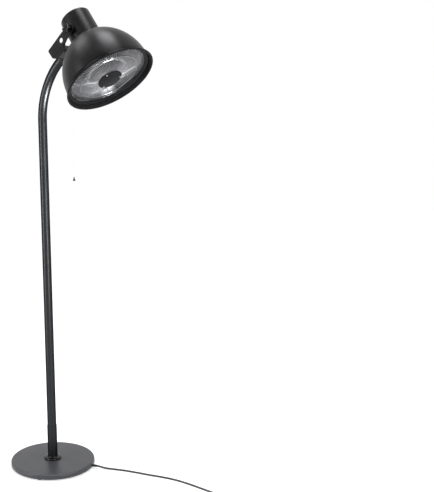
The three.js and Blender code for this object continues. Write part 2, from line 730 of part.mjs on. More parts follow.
// Everything on one side is made for the +X side, and the other side is the same turned half round.
function makeClamp(group, side) {
  const half = new THREE.Group();
  half.rotation.z = side === "right" ? 0 : Math.PI;
  group.add(half);

  const bossEnd = NECK_RADIUS + BOSS_REACH;
  const boss = crossways(BOSS_RADIUS, NECK_RADIUS / 2, bossEnd, 20);
  const neck = upright(NECK_RADIUS + GAP, -2 * BOSS_RADIUS, 2 * BOSS_RADIUS, 60);
  const bore = crossways(STUD_HOLE, 0, bossEnd + 1, 12);
  add(half, "pivot_boss_" + side, cut(boss, neck, bore), BLACK_STEEL);

  const washer = cut(
    crossways(WASHER_RADIUS, bossEnd + GAP, bossEnd + GAP + WASHER_THICKNESS, 20),
    crossways(STUD_HOLE, bossEnd, bossEnd + 2 + WASHER_THICKNESS, 12),
  );
  add(half, "friction_washer_" + side, washer, PLASTIC);

  const hubFoot = CHEEK_OUTSIDE + GAP;
  const headFoot = hubFoot + KNOB_HUB_LENGTH;
  const headTop = headFoot + KNOB_THICKNESS;
  const grip = new THREE.ExtrudeGeometry(knobOutline(KNOB_RADIUS - KNOB_EDGE), {
    depth: KNOB_THICKNESS - 2 * KNOB_EDGE,
    bevelSize: KNOB_EDGE,
    bevelThickness: KNOB_EDGE,
    bevelSegments: 1,
    steps: 1,
  });
  grip.applyMatrix4(ACROSS).translate(headFoot + KNOB_EDGE, 0, 0);
  const hub = crossways(KNOB_HUB_RADIUS, hubFoot, headFoot + 1, 24);
  const studEnd = headTop - KNOB_SKIN;
  const studBore = crossways(STUD_HOLE, hubFoot - 1, studEnd + GAP, 12);
  add(half, "knob_" + side, cut(joined(grip, hub), studBore), GLOSS_BLACK);

  const studFoot = NECK_RADIUS - NECK_SHEET - STUD_INSIDE;
  add(half, "knob_stud_" + side, crossways(STUD_RADIUS, studFoot, studEnd, 12), ZINC);
}

// ---------------------------------------------------------------- head shell, Z = 0 at its rim plane

function makeShell(group) {
  const domeEdge = RIM_HEIGHT + GAP;
  const topAngle = 90 - THREE.MathUtils.radToDeg(Math.asin(NECK_RADIUS / DOME_RADIUS));
  const curve = arc(0, 0, 1, 0, topAngle, 6).map(([x, y]) => {
    return [x * DOME_RADIUS, DOME_FOOT + y * DOME_RISE];
  });
  const domeLine = [[DOME_RADIUS, domeEdge], ...curve, [NECK_RADIUS - DOME_FLANGE, DOME_TOP]];
  add(group, "dome_shade", turned(sheet(domeLine, DOME_SHEET), ROUND), BRUSHED);

  const neckCorner = arc(NECK_RADIUS - NECK_EDGE, NECK_TOP - NECK_EDGE, NECK_EDGE, 0, 90, 3);
  const neckLine = [[NECK_RADIUS, DOME_TOP + GAP], ...neckCorner, [0, NECK_TOP]];
  const neck = turned(sheet(neckLine, NECK_SHEET), 30);
  const vents = Array.from({ length: VENT_COUNT }, (_, i) => {
    const half = VENT_WIDTH / 2;
    const slot = box(VENT_FROM, VENT_TO, -half, half, NECK_TOP - NECK_EDGE, NECK_TOP + 1);
    return slot.rotateZ((2 * Math.PI * i) / VENT_COUNT);
  });
  const studHole = crossways(STUD_HOLE, -NECK_RADIUS - 1, NECK_RADIUS + 1, 12);
  studHole.translate(0, 0, PIVOT_HEIGHT);
  add(group, "neck_housing", cut(neck, studHole, ...vents), BRUSHED);

  const ringFoot = DOME_TOP + GAP;
  const ringLine = [
    [JOINT_RING_RADIUS, ringFoot + JOINT_RING_HEIGHT],
    [JOINT_RING_RADIUS, ringFoot],
    [JOINT_RING_BORE, ringFoot],
  ].reverse();
  add(group, "neck_ring", turned(sheet(ringLine, JOINT_RING_SHEET), 30), ZINC);

  const rim = turned(
    [
      [RIM_RADIUS - RIM_LIP, 0],
      [RIM_RADIUS - RIM_EDGE, 0],
      [RIM_RADIUS, RIM_EDGE],
      [RIM_RADIUS, RIM_BAND],
      [DOME_RADIUS + RIM_STEP, RIM_HEIGHT],
      [RIM_BORE, RIM_HEIGHT],
      [RIM_BORE, FRONT_RING_SEAT],
    ],
    ROUND,
  );
  add(group, "rim_ring", rim, GLOSS_BLACK);

  const flangeRadius = RIM_BORE - GAP;
  const frontLine = [
    [FRONT_OPENING, FRONT_OPENING_HEIGHT],
    [flangeRadius, FRONT_RING_SEAT],
    [flangeRadius, FRONT_RING_SEAT + FRONT_RING_FLANGE],
  ];
  add(group, "front_ring", turned(sheet(frontLine, FRONT_RING_SHEET), ROUND), GLOSS_BLACK);
}

// ---------------------------------------------------------------- grille

// Height of the middle of the wires, which slope forward from the outer ring to the inner one.
function grilleHeight(radius) {
  const share = (radius - INNER_RING) / (OUTER_RING - INNER_RING);
  return INNER_RING_HEIGHT + (GRILLE_EDGE_HEIGHT - INNER_RING_HEIGHT) * share;
}

// The gaps between the wires are cut out of a disc, which is then drawn up to the grille's slope.
function makeGrille(group) {
  const disc = outline(arc(0, 0, OUTER_RING + OUTER_RING_WIDTH / 2, 0, 360 - 360 / 53, 52));
  const bore = (INNER_RING - INNER_RING_WIDTH / 2) / Math.cos(Math.PI / 53);
  disc.holes.push(outline(arc(0, 0, bore, 0, 360 - 360 / 53, 52)));
  const near = INNER_RING + INNER_RING_WIDTH / 2;
  const far = OUTER_RING - OUTER_RING_WIDTH / 2;
  const step = 360 / WIRE_COUNT;
  const cutBack = (radius) => THREE.MathUtils.radToDeg(WIRE / 2 / radius);
  for (let i = 0; i < WIRE_COUNT; i += 1) {
    const from = i * step;
    disc.holes.push(
      outline([
        ...arc(0, 0, near, from + cutBack(near), from + step - cutBack(near), 1),
        ...arc(0, 0, far, from + step - cutBack(far), from + cutBack(far), 1),
      ]),
    );
  }
  const grille = extruded(disc, WIRE);
  const places = grille.getAttribute("position");
  for (let i = 0; i < places.count; i += 1) {
    const radius = Math.hypot(places.getX(i), places.getY(i));
    places.setZ(i, places.getZ(i) - WIRE / 2 + grilleHeight(radius));
  }
  add(group, "grille", grille, CHROME);

  const ringBack = grilleHeight(MIDDLE_RING - MIDDLE_RING_WIDTH / 2) - WIRE / 2 - GAP;
  const ring = turned(
    [
      [MIDDLE_RING - MIDDLE_RING_WIDTH / 2, ringBack - MIDDLE_RING_WIDTH],
      [MIDDLE_RING + MIDDLE_RING_WIDTH / 2, ringBack - MIDDLE_RING_WIDTH],
      [MIDDLE_RING + MIDDLE_RING_WIDTH / 2, ringBack],
      [MIDDLE_RING - MIDDLE_RING_WIDTH / 2, ringBack],
    ],
    ROUND,
  );
  add(group, "grille_ring", ring, CHROME);

  const discBack = grilleHeight(INNER_RING) - WIRE / 2 - 2 * GAP;
  const discFront = discBack - DISC_THICKNESS;
  const clampFront = grilleHeight(DISC_RADIUS) + WIRE / 2 + GAP;
  const plate = turned(
    [
      [0, discFront],
      [DISC_RADIUS - 2 * DISC_EDGE, discFront],
      [DISC_RADIUS, discFront + DISC_EDGE],
      [DISC_RADIUS, discBack],
      [0, discBack],
    ],
    34,
  );
  const posts = Array.from({ length: DISC_POST_COUNT }, (_, i) => {
    const post = upright(DISC_POST_RADIUS, discBack - 1, clampFront - GAP, 8);
    return roundTheBase(post, DISC_POST_CIRCLE, LAMP_AT + (360 / DISC_POST_COUNT) * i);
  });
  add(group, "centre_disc", joined(plate, ...posts), GLOSS_BLACK);

  const clamp = upright(CLAMP_RADIUS, clampFront, clampFront + CLAMP_SHEET, 20);
  add(group, "grille_clamp", clamp, ZINC);
}

// ---------------------------------------------------------------- reflector, lamp and what holds them

// The bowl follows an ellipse from its flange to its middle and steps in at each ledge.
function reflectorPoint(degrees, ledges) {
  const radius = REFLECTOR_RADIUS * Math.cos(radians(degrees)) - REFLECTOR_LEDGE * ledges;
  return [radius, REFLECTOR_FRONT + REFLECTOR_DEPTH * Math.sin(radians(degrees))];
}

function reflectorLine() {
  const points = [[REFLECTOR_RADIUS + REFLECTOR_FLANGE, REFLECTOR_FRONT]];
  const stops = [0, ...REFLECTOR_LEDGES];
  const steepest = (REFLECTOR_BORE + REFLECTOR_LEDGE * REFLECTOR_LEDGES.length) / REFLECTOR_RADIUS;
  stops.push(THREE.MathUtils.radToDeg(Math.acos(steepest)));
  stops.slice(1).forEach((to, ledge) => {
    const from = stops[ledge];
    const steps = Math.ceil((to - from) / 16);
    for (let i = 0; i <= steps; i += 1) {
      points.push(reflectorPoint(from + ((to - from) * i) / steps, ledge));
    }
  });
  return points.reverse();
}

function aroundTheHead(geometry, degrees) {
  return geometry.rotateZ(radians(degrees));
}

function makeReflector(group) {
  const bowl = turned(sheet(reflectorLine(), REFLECTOR_SHEET), 32);
  const legHoles = [-LAMP_SPREAD, LAMP_SPREAD].map((spread) => {
    const hole = upright(LAMP_RADIUS + GAP, REFLECTOR_FRONT, CAP_TOP, 12).translate(LAMP_CIRCLE, 0, 0);
    return aroundTheHead(hole, LAMP_AT + spread);
  });
  add(group, "reflector", cut(bowl, ...legHoles), CHROME);

  const shieldLine = [
    [SHIELD_BORE, SHIELD_HEIGHT],
    [SHIELD_RADIUS - SHIELD_LIP / 2, SHIELD_HEIGHT],
    [SHIELD_RADIUS, SHIELD_HEIGHT - SHIELD_LIP],
  ];
  const postHoles = postAngles().map((angle) => {
    const hole = upright(POST_RADIUS + GAP, SHIELD_HEIGHT - 1, SHIELD_HEIGHT + 3, 12);
    return aroundTheHead(hole.translate(POST_CIRCLE, 0, 0), angle);
  });
  const shield = turned(sheet(shieldLine, SHIELD_SHEET), 20);
  add(group, "heat_shield", cut(shield, ...postHoles), ZINC);

  postAngles().forEach((angle, i) => {
    const foot = reflectorHeight(POST_CIRCLE - POST_RADIUS) + REFLECTOR_SHEET + 2 * GAP;
    const post = upright(POST_RADIUS, foot, DOME_TOP, 10).translate(POST_CIRCLE, 0, 0);
    add(group, "support_post_" + (i + 1), aroundTheHead(post, angle), ZINC);
  });

  const seat = SHIELD_HEIGHT + SHIELD_SHEET + GAP;
  const { x, y, z } = TERMINAL;
  const terminal = box(-x / 2, x / 2, -y / 2, y / 2, seat, seat + z);
  add(group, "terminal_block", terminal, CERAMIC);
}

function postAngles() {
  return Array.from({ length: POST_COUNT }, (_, i) => LAMP_AT + 60 + (360 / POST_COUNT) * i);
}

// Height of the bowl's front face at a radius inside its last ledge.
function reflectorHeight(radius) {
  const reach = radius + REFLECTOR_LEDGE * REFLECTOR_LEDGES.length;
  return REFLECTOR_FRONT + REFLECTOR_DEPTH * Math.sqrt(1 - (reach / REFLECTOR_RADIUS) ** 2);
}

// The lamp is a ring with a gap, and both its ends bend back through the reflector.
function lampRoute() {
  const bendTurn = THREE.MathUtils.radToDeg(LAMP_BEND / LAMP_CIRCLE);
  const from = LAMP_AT + LAMP_SPREAD + bendTurn;
  const to = LAMP_AT - LAMP_SPREAD - bendTurn + 360;
  const ring = arc(0, 0, LAMP_CIRCLE, from, to, 30).map(([x, y]) => {
    return new THREE.Vector3(x, y, LAMP_HEIGHT);
  });
  const leg = (side) => {
    const bend = arc(LAMP_BEND, 0, LAMP_BEND, 180, 270, 4).slice(0, -1);
    const points = bend.map(([along, drop]) => {
      const degrees = side * (LAMP_SPREAD + THREE.MathUtils.radToDeg(along / LAMP_CIRCLE));
      const angle = radians(LAMP_AT) + radians(degrees);
      const [x, y] = [LAMP_CIRCLE * Math.cos(angle), LAMP_CIRCLE * Math.sin(angle)];
      return new THREE.Vector3(x, y, LAMP_HEIGHT + LAMP_BEND + drop);
    });
    const top = points[0].clone();
    top.z = LAMP_LEG_TOP;
    return [top, ...points];
  };
  return [...leg(1), ...ring, ...leg(-1).reverse()];
}

// A clip's strip stands on the reflector and ends in an open hook round the lamp.
function clipOutline() {
  const inner = LAMP_RADIUS + 2 * GAP;
  const outer = inner + CLIP_SHEET;
  const half = CLIP_SHEET / 2;
  const top = reflectorHeight(LAMP_CIRCLE) - LAMP_HEIGHT - 3 * GAP;
  return outline([
    [-half, top],
    ...arc(0, 0, outer, 96, 205, 5),
    ...arc(0, 0, inner, 205, -25, 8),
    ...arc(0, 0, outer, -25, 84, 5),
    [half, top],
  ]);
}

function makeLamp(group) {
  add(group, "ring_lamp", swept(section(LAMP_RADIUS, 0, 8), lampRoute()), QUARTZ);

  [LAMP_SPREAD, -LAMP_SPREAD].forEach((spread, i) => {
    const bore = LAMP_RADIUS + GAP;
    const cap = turned(
      [
        [bore, CAP_FOOT],
        [bore + CAP_WALL, CAP_FOOT],
        [bore + CAP_WALL, CAP_TOP],
        [0, CAP_TOP],
        [0, LAMP_LEG_TOP + GAP],
        [bore, LAMP_LEG_TOP + GAP],
      ],
      12,
    ).translate(LAMP_CIRCLE, 0, 0);
    add(group, "lamp_cap_" + (i + 1), aroundTheHead(cap, LAMP_AT + spread), CERAMIC);
  });

  for (let i = 0; i < CLIP_COUNT; i += 1) {
    const clip = extruded(clipOutline(), CLIP_WIDTH).rotateX(Math.PI / 2);
    clip.translate(LAMP_CIRCLE, CLIP_WIDTH / 2, LAMP_HEIGHT);
    const angle = LAMP_AT + 60 + (360 / CLIP_COUNT) * i;
    add(group, "lamp_clip_" + (i + 1), aroundTheHead(clip, angle), ZINC);
  }
}

// ---------------------------------------------------------------- mains cord

// A place on the line that the cord follows out of the base.
function cordPlace(radius, height) {
  const angle = radians(CORD_AT);
  return new THREE.Vector3(radius * Math.cos(angle), radius * Math.sin(angle), height);
}

function looseRoute() {
  const exit = BASE_RADIUS + RELIEF_LENGTH + GAP;
  const straight = exit + 2 * CORD_RADIUS;
  const laid = CORD_POINTS.map(([x, y, lift]) => new THREE.Vector3(x, y, CORD_REST + lift));
  const coilStart = coilPoint(0);
  const last = coilStart.clone();
  last.y += 2 * CORD_RADIUS;
  coilStart.y += GAP;
  const bend = new THREE.CatmullRomCurve3([
    cordPlace(straight, CORD_HEIGHT - 0.6),
    ...laid,
    last,
  ]);
  return [cordPlace(exit, CORD_HEIGHT), ...bend.getSpacedPoints(24), coilStart];
}

// The spiral runs in at a steady rate to its middle turn and out again, and climbs to the upper layer
// in the half turn between.
function coilPoint(turn) {
  const middle = COIL_TURNS / 2;
  const radius = COIL_RADIUS - COIL_PITCH * (middle - Math.abs(turn - middle));
  const climb = THREE.MathUtils.clamp((turn - middle) * 2 + 0.5, 0, 1);
  const angle = -2 * Math.PI * turn;
  return new THREE.Vector3(
    COIL_X + radius * Math.cos(angle),
    COIL_Y + radius * Math.sin(angle),
    CORD_REST + COIL_LIFT + COIL_PITCH * climb,
  );
}

// The cord's last stretch leaves the coil along its outermost turn and ends at the plug.
function coilEnd() {
  const start = coilPoint(COIL_TURNS);
  const way = start.clone().sub(coilPoint(COIL_TURNS - 0.001)).setZ(0).normalize();
  return { start, way };
}

function coilRoute() {
  const steps = Math.round(COIL_TURNS * COIL_STEPS);
  const turns = Array.from({ length: steps + 1 }, (_, i) => coilPoint((COIL_TURNS * i) / steps));
  const { start, way } = coilEnd();
  const tail = TAIL_POINTS.map(([along, lift]) => {
    const place = start.clone().addScaledVector(way, along);
    return place.setZ(CORD_REST + lift);
  });
  for (const along of [TAIL_LENGTH - 2 * CORD_RADIUS, TAIL_LENGTH]) {
    tail.push(start.clone().addScaledVector(way, along).setZ(PLUG_REST));
  }
  const straight = turns[0].clone();
  straight.y -= 2 * CORD_RADIUS;
  return [turns[0], straight, ...turns.slice(2), ...tail];
}

// The least space between two stretches of the coil that are more than half a turn apart.
function leastGap(points, apart) {
  let least = Infinity;
  points.forEach((point, i) => {
    for (let j = i + apart; j < points.length - 1; j += 1) {
      const stretch = new THREE.Line3(points[j], points[j + 1]);
      const nearest = stretch.closestPointToPoint(point, true, new THREE.Vector3());
      least = Math.min(least, nearest.distanceTo(point));
    }
  });
  return least - 2 * CORD_RADIUS;
}

function makeCord(group) {
  const loose = looseRoute();
  add(group, "mains_cord", swept(section(CORD_RADIUS, 0, CORD_SIDES), loose), RUBBER);
  const coil = coilRoute();
  add(group, "cord_coil", swept(section(CORD_RADIUS, 0, COIL_SIDES), coil), RUBBER);
  const length = [loose, coil].reduce((sum, points) => {
    return points.slice(1).reduce((part, point, i) => part + point.distanceTo(points[i]), sum);
  }, 0);
  console.log("cord length", length.toFixed(0), "mm");
  console.log("least gap in the coil", leastGap(coil, COIL_STEPS / 2).toFixed(2), "mm");
  makeTie(group);
  makePlug(group);
}

// A band round all the turns, on the side of the coil that faces away from the climb.
function makeTie(group) {
  const [near, far] = [COIL_RADIUS - (COIL_PITCH * COIL_TURNS) / 2, COIL_RADIUS];
  const room = CORD_RADIUS + TIE_GAP;
  const low = CORD_REST + COIL_LIFT - room;
  const high = CORD_REST + COIL_LIFT + COIL_PITCH + room;
  const band = (grow) => [
    [near - room - grow, low - grow],
    [far + room + grow, low - grow],
    [far + room + grow, high + grow],
    [near - room - grow, high + grow],
  ];
  const shape = outline(band(TIE_SHEET));
  shape.holes.push(outline(band(0)));
  const tie = extruded(shape, TIE_WIDTH).rotateX(Math.PI / 2).translate(0, TIE_WIDTH / 2, 0);
  add(group, "cord_tie", tie.rotateZ(-Math.PI / 2).translate(COIL_X, COIL_Y, 0), RUBBER);
}

// The plug lies flat beside the coil, in line with the cord's end.
function makePlug(group) {
  const { start, way } = coilEnd();
  const plug = new THREE.Group();
  plug.position.copy(start).addScaledVector(way, TAIL_LENGTH + GAP).setZ(PLUG_REST);
  plug.rotation.z = Math.atan2(way.y, way.x);
  group.add(plug);

  const half = PLUG_WIDTH / 2;
  const inset = PLUG_EDGE;
  const shape = outline([
    [PLUG_TAIL, inset - half * 0.7],
    [PLUG_TAIL + 8, inset - half],
    [PLUG_TAIL + PLUG_LENGTH - inset, inset - half],
    [PLUG_TAIL + PLUG_LENGTH - inset, half - inset],
    [PLUG_TAIL + 8, half - inset],
    [PLUG_TAIL, half * 0.7 - inset],
  ]);
  const body = new THREE.ExtrudeGeometry(shape, {
    depth: PLUG_THICKNESS - 2 * PLUG_EDGE,
    bevelSize: PLUG_EDGE,
    bevelThickness: PLUG_EDGE,
    bevelSegments: 2,
    steps: 1,
  }).translate(0, 0, PLUG_EDGE - PLUG_THICKNESS / 2);
  const tail = turned(
    [
      [0, 0],
      [CORD_RADIUS + 0.6, 0],
      [CORD_RADIUS + 2.2, PLUG_TAIL],
      [0, PLUG_TAIL],
    ],
    10,
  ).rotateY(Math.PI / 2);
  const front = PLUG_TAIL + PLUG_LENGTH;
  const { width, height, depth } = PIN_CARRIER;
  const pocket = box(
    front - depth - GAP,
    front + 1,
    -width / 2 - GAP,
    width / 2 + GAP,
    -height / 2 - GAP,
    height / 2 + GAP,
  );
  add(plug, "plug_body", cut(joined(body, tail), pocket), RUBBER);

  const carrier = box(front - depth, front, -width / 2, width / 2, -height / 2, height / 2);
  const pins = [-PIN_SPACING / 2, PIN_SPACING / 2].map((y) => {
    return crossways(PIN_RADIUS, front - 1, front + PIN_LENGTH, 10).translate(0, y, 0);
  });
  add(plug, "plug_pins", joined(carrier, ...pins), BRASS);
}

// ---------------------------------------------------------------- the whole heater

const heater = new THREE.Group();
makeBase(heater);
makePole(heater);

const yoke = new THREE.Group();
yoke.position.copy(PIVOT);
yoke.rotation.x = BEND;
heater.add(yoke);
makeYoke(yoke);
makePullString(heater);

const head = new THREE.Group();
head.position.copy(PIVOT);
head.rotation.x = -radians(HEAD_TILT);
heater.add(head);
makeClamp(head, "left");
makeClamp(head, "right");

const rim = new THREE.Group();
rim.position.z = -PIVOT_HEIGHT;
head.add(rim);
makeShell(rim);
makeGrille(rim);
makeReflector(rim);
makeLamp(rim);

makeCord(heater);

export default heater;
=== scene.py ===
"""The looks of a floor-standing infrared heater with a domed, tilting head.

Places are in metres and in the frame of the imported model, and the sizes of the pieces are in
millimetres. The heater stands on the floor at FLOOR, its pole curves over towards -Y, and its
head leans out that way.
"""

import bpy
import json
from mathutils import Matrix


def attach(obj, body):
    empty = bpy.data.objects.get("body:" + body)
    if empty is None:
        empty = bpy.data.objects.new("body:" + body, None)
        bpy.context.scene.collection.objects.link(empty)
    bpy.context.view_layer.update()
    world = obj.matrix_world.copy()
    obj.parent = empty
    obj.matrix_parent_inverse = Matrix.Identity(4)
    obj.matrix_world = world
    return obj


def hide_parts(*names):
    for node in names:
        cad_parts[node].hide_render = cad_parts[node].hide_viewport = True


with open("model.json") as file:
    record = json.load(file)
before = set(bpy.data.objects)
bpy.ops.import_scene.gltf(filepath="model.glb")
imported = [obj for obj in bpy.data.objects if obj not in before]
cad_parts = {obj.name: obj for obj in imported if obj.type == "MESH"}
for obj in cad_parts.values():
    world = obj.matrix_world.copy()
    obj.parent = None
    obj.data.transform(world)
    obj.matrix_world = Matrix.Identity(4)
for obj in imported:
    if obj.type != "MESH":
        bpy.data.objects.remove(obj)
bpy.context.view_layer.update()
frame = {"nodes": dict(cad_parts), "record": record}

import json
import logging
import math
from collections.abc import Iterable, Sequence
from dataclasses import dataclass
from enum import Enum

import bmesh
import bpy
from mathutils import Matrix, Vector

log = logging.getLogger("heater")

MM = 0.001
FLOOR = -4 * MM
GAP = 0.3  # millimetres between pieces that fit together
WELD = 1e-7  # metres at which corners become one
FULL_TURN = 2 * math.pi
PIVOT = Vector((0, -254.7795, 1806.3753)) * MM
HEAD_TILT = math.radians(34)
ARM_LEAN = math.radians(52)
PIVOT_HEIGHT = 258 * MM
CLAMP_PLACE = Matrix.Translation(PIVOT) @ Matrix.Rotation(-HEAD_TILT, 4, "X")
HEAD_PLACE = CLAMP_PLACE @ Matrix.Translation((0, 0, -PIVOT_HEIGHT))
YOKE_PLACE = Matrix.Translation(PIVOT) @ Matrix.Rotation(ARM_LEAN, 4, "X")
AT_ORIGIN = Matrix.Identity(4)
ACROSS = Matrix(((0, 0, 1, 0), (1, 0, 0, 0), (0, 1, 0, 0), (0, 0, 0, 1)))  # lays a plate's Z along X
SHARP_ANGLE = math.radians(32)
STUD_BORE = 4.3  # radius of the holes that the clamp studs pass
FINE = 144  # sides of the large round pieces

Point = Sequence[float]
Form = bmesh.types.BMesh
Socket = bpy.types.NodeSocket


class Body(Enum):
    """The bodies that move on their own."""

    STAND = "stand"
    HEAD = "head"
    LEFT_CLAMP = "left_clamp"
    RIGHT_CLAMP = "right_clamp"
    PULL_CORD = "pull_cord"


class Grain(Enum):
    """What the fine relief of a finish looks like."""

    PEEL = "orange peel of a sprayed or moulded skin"
    CAST = "coarse grain of a casting"
    RINGS = "brush lines that run round the head's axis"
    SPUN = "turning lines and soft waves of a spun bowl"
    BRAID = "slanting strands of a braided string"


@dataclass(frozen=True)
class Finish:
    """A surface finish, made as a node material.

    Attributes:
        name: the material's name.
        slot: the record's material slot that it belongs to.
        colour: linear base colour.
        metallic: the shader's metallic value.
        roughness: lowest roughness of the surface.
        spread: how much rougher its dull patches are.
        grain: kind of fine relief.
        depth: height of that relief.
        scale: how fine the relief is, in features per metre.
        glass: share of light that passes through.
        wear: how much lighter the dusty and rubbed patches are.
        brushed: how far the brush lines stretch its highlights.
        gloss: strength of its mirror image, where 0.5 is that of common plastic.
        edge: brightness of a metal's mirror image where it turns away from the eye.
    """

    name: str
    slot: str
    colour: tuple[float, float, float]
    metallic: float = 0.0
    roughness: float = 0.4
    spread: float = 0.08
    grain: Grain = Grain.PEEL
    depth: float = 0.00005
    scale: float = 900.0
    glass: float = 0.0
    wear: float = 0.12
    brushed: float = 0.0
    gloss: float = 0.5
    edge: float = 1.0

    def material(self) -> bpy.types.Material:
        """Makes the material once and gives the same one after that."""
        known = bpy.data.materials.get(self.name)
        if known:
            return known
        made = bpy.data.materials.new(self.name)
        made.use_nodes = True
        Dressing(self, made.node_tree).build()
        return made


def feed(tree: bpy.types.NodeTree, node: bpy.types.Node, inputs: dict[str | int, object]) -> None:
    """Fills a node's inputs.

    Args:
        tree: the node's tree.
        node: the node.
        inputs: a value, or a socket to link, for each input's name or number.
    """
    for name, value in inputs.items():
        if isinstance(value, Socket):
            tree.links.new(value, node.inputs[name])
        else:
            node.inputs[name].default_value = value


def add_node(tree: bpy.types.NodeTree, kind: str, inputs: dict[str | int, object], out: str | int = 0,
             **settings: object) -> Socket:
    """Adds a shader node.

    Args:
        tree: the tree to add to.
        kind: the node's type, without its leading words.
        inputs: a value, or a socket to link, for each input's name or number.
        out: name or number of the output that is asked for.
        **settings: the node's properties.

    Returns:
        The node's output socket.
    """
    made = tree.nodes.new("ShaderNode" + kind)
    for name, value in settings.items():
        setattr(made, name, value)
    feed(tree, made, inputs)
    return made.outputs[out]


class Dressing:
    """Builds the node tree of one finish."""

    noise_range = (0.35, 0.65)
    patches_per_metre = 14

    def __init__(self, finish: Finish, tree: bpy.types.NodeTree) -> None:
        """Keeps the finish and its material's tree, as Blender makes it."""
        self.finish = finish
        self.tree = tree
        self.round_head = finish.grain in (Grain.RINGS, Grain.SPUN)

    def node(self, kind: str, inputs: dict[str | int, object], out: str | int = 0,
             **settings: object) -> Socket:
        """Adds a node to this tree, as add_node does."""
        return add_node(self.tree, kind, inputs, out, **settings)

    def place(self) -> Socket:
        """Gives the surface's place, with Z along the head's axis where the finish runs round it."""
        where = self.node("TexCoord", {}, "Object")
        if not self.round_head:
            return where
        centre = -(HEAD_PLACE.to_3x3().inverted() @ HEAD_PLACE.translation)
        return self.node("Mapping", {"Vector": where, "Rotation": (HEAD_TILT, 0, 0), "Location": centre})

    def noise(self, place: Socket, scale: float) -> Socket:
        """Makes fine noise, of so many features per metre, at a place."""
        return self.node("TexNoise", {"Vector": place, "Scale": scale, "Detail": 3.0, "Roughness": 0.6}, "Fac")

    def part(self, place: Socket, axis: str) -> Socket:
        """Gives one coordinate of a place."""
        return self.node("SeparateXYZ", {0: place}, axis)

    def off_axis(self, place: Socket) -> Socket:
        """Gives a place's distance from the head's axis as X, and its Z, with no angle in it."""
        flat = self.node("VectorMath", {0: place, 1: (1, 1, 0)}, operation="MULTIPLY")
        reach = self.node("VectorMath", {0: flat}, "Value", operation="LENGTH")
        return self.node("CombineXYZ", {"X": reach, "Z": self.part(place, "Z")})

    def round_the_axis(self, place: Socket) -> Socket:
        """Gives the direction, in the world's frame, in which brush lines run round the head's axis."""
        back = self.node("Math", {0: self.part(place, "Y"), 1: -1}, operation="MULTIPLY")
        way = self.node("CombineXYZ", {"X": back, "Y": self.part(place, "X")})
        leaned = self.node("Mapping", {"Vector": way, "Rotation": (-HEAD_TILT, 0, 0)}, vector_type="VECTOR")
        return self.node("VectorTransform", {"Vector": leaned}, vector_type="VECTOR", convert_from="OBJECT",
                         convert_to="WORLD")

    def relief(self, place: Socket) -> Socket:
        """Makes the height of the fine relief at a place."""
        scale = self.finish.scale
        if self.finish.grain is Grain.BRAID:
            return self.node("TexWave", {"Vector": place, "Scale": scale, "Distortion": 1.0}, "Fac",
                             wave_type="BANDS", bands_direction="DIAGONAL")
        if self.finish.grain is Grain.CAST:
            return self.node("TexVoronoi", {"Vector": place, "Scale": scale}, "Distance")
        return self.noise(self.off_axis(place) if self.round_head else place, scale)

    def ramp(self, value: Socket, low: float, high: float) -> Socket:
        """Spreads a noise value over a new range.

        Args:
            value: the noise.
            low: what its usual low becomes.
            high: what its usual high becomes.

        Returns:
            The new value.
        """
        start, end = self.noise_range
        return self.node("MapRange", {"Value": value, "From Min": start, "From Max": end,
                                      "To Min": low, "To Max": high})

    def build(self) -> None:
        """Fills the tree: colour with dull patches, roughness, relief, brush lines and glass."""
        finish = self.finish
        place = self.place()
        patches = self.noise(place, self.patches_per_metre)
        fine = self.relief(place)
        light = (min(1.0, c * (1 + finish.wear) + 0.02 * finish.wear) for c in finish.colour)
        dark = (c * (1 - finish.wear) for c in finish.colour)
        share = self.node("Math", {0: self.ramp(patches, 0, 0.5), 1: self.ramp(fine, 0, 0.5)}, operation="ADD")
        inputs = {
            "Base Color": self.node("Mix", {"Factor": share, "A": (*dark, 1), "B": (*light, 1)}, "Result",
                                    data_type="RGBA"),
            "Roughness": self.ramp(patches, finish.roughness, finish.roughness + finish.spread),
            "Normal": self.node("Bump", {"Strength": 1.0, "Distance": finish.depth, "Height": fine}),
            "Metallic": finish.metallic,
            "Transmission Weight": finish.glass,
            "Specular IOR Level": finish.gloss,
            "Specular Tint": (finish.edge, finish.edge, finish.edge, 1)}
        if finish.glass:
            inputs["IOR"] = 1.46
        if finish.brushed:
            inputs |= {"Anisotropic": finish.brushed, "Anisotropic Rotation": 0.25,
                       "Tangent": self.round_the_axis(place)}
        feed(self.tree, self.tree.nodes["Principled BSDF"], inputs)


BRUSHED = Finish("brushed_black_steel", "brushed_black", (0.0095, 0.0095, 0.0102), 0.85, 0.36, 0.05,
                 Grain.RINGS, 0.000012, 2200.0, wear=0.25, brushed=0.6, gloss=0.25)
SATIN = Finish("satin_grey_coat", "satin_paint", (0.034, 0.035, 0.04), 0.0, 0.4, 0.06,
               depth=0.00002, scale=1400.0, wear=0.07)
# The pole's copy of the base's satin paint is darker, metallic and black-edged, so the upright pole and its
# sides render darker: painted shade.
SHADED_POLE_PAINT = Finish("satin_paint_shaded_on_pole", "satin_paint", (0.028, 0.029, 0.031), 0.9, 0.29, 0.04,
                   depth=0.000004, scale=1400.0, wear=0.07, gloss=0.1, edge=0.0)
YOKE_COAT = Finish("satin_black_coat", "yoke_paint", (0.008, 0.008, 0.009), 0.0, 0.38,
                   depth=0.00002, scale=1400.0, gloss=0.12)
ENAMEL = Finish("black_gloss_enamel", "black_enamel", (0.003, 0.003, 0.0033), 0.0, 0.25,
                depth=0.00001, scale=700.0, gloss=0.02)
GLOSS = Finish("gloss_black_plastic", "gloss_black", (0.005, 0.005, 0.0055), 0.0, 0.14,
               depth=0.000015, scale=500.0, gloss=0.2)
PLASTIC = Finish("grained_black_plastic", "black_plastic", (0.014, 0.014, 0.015), 0.0, 0.45, 0.1,
                 depth=0.00004, scale=1800.0)
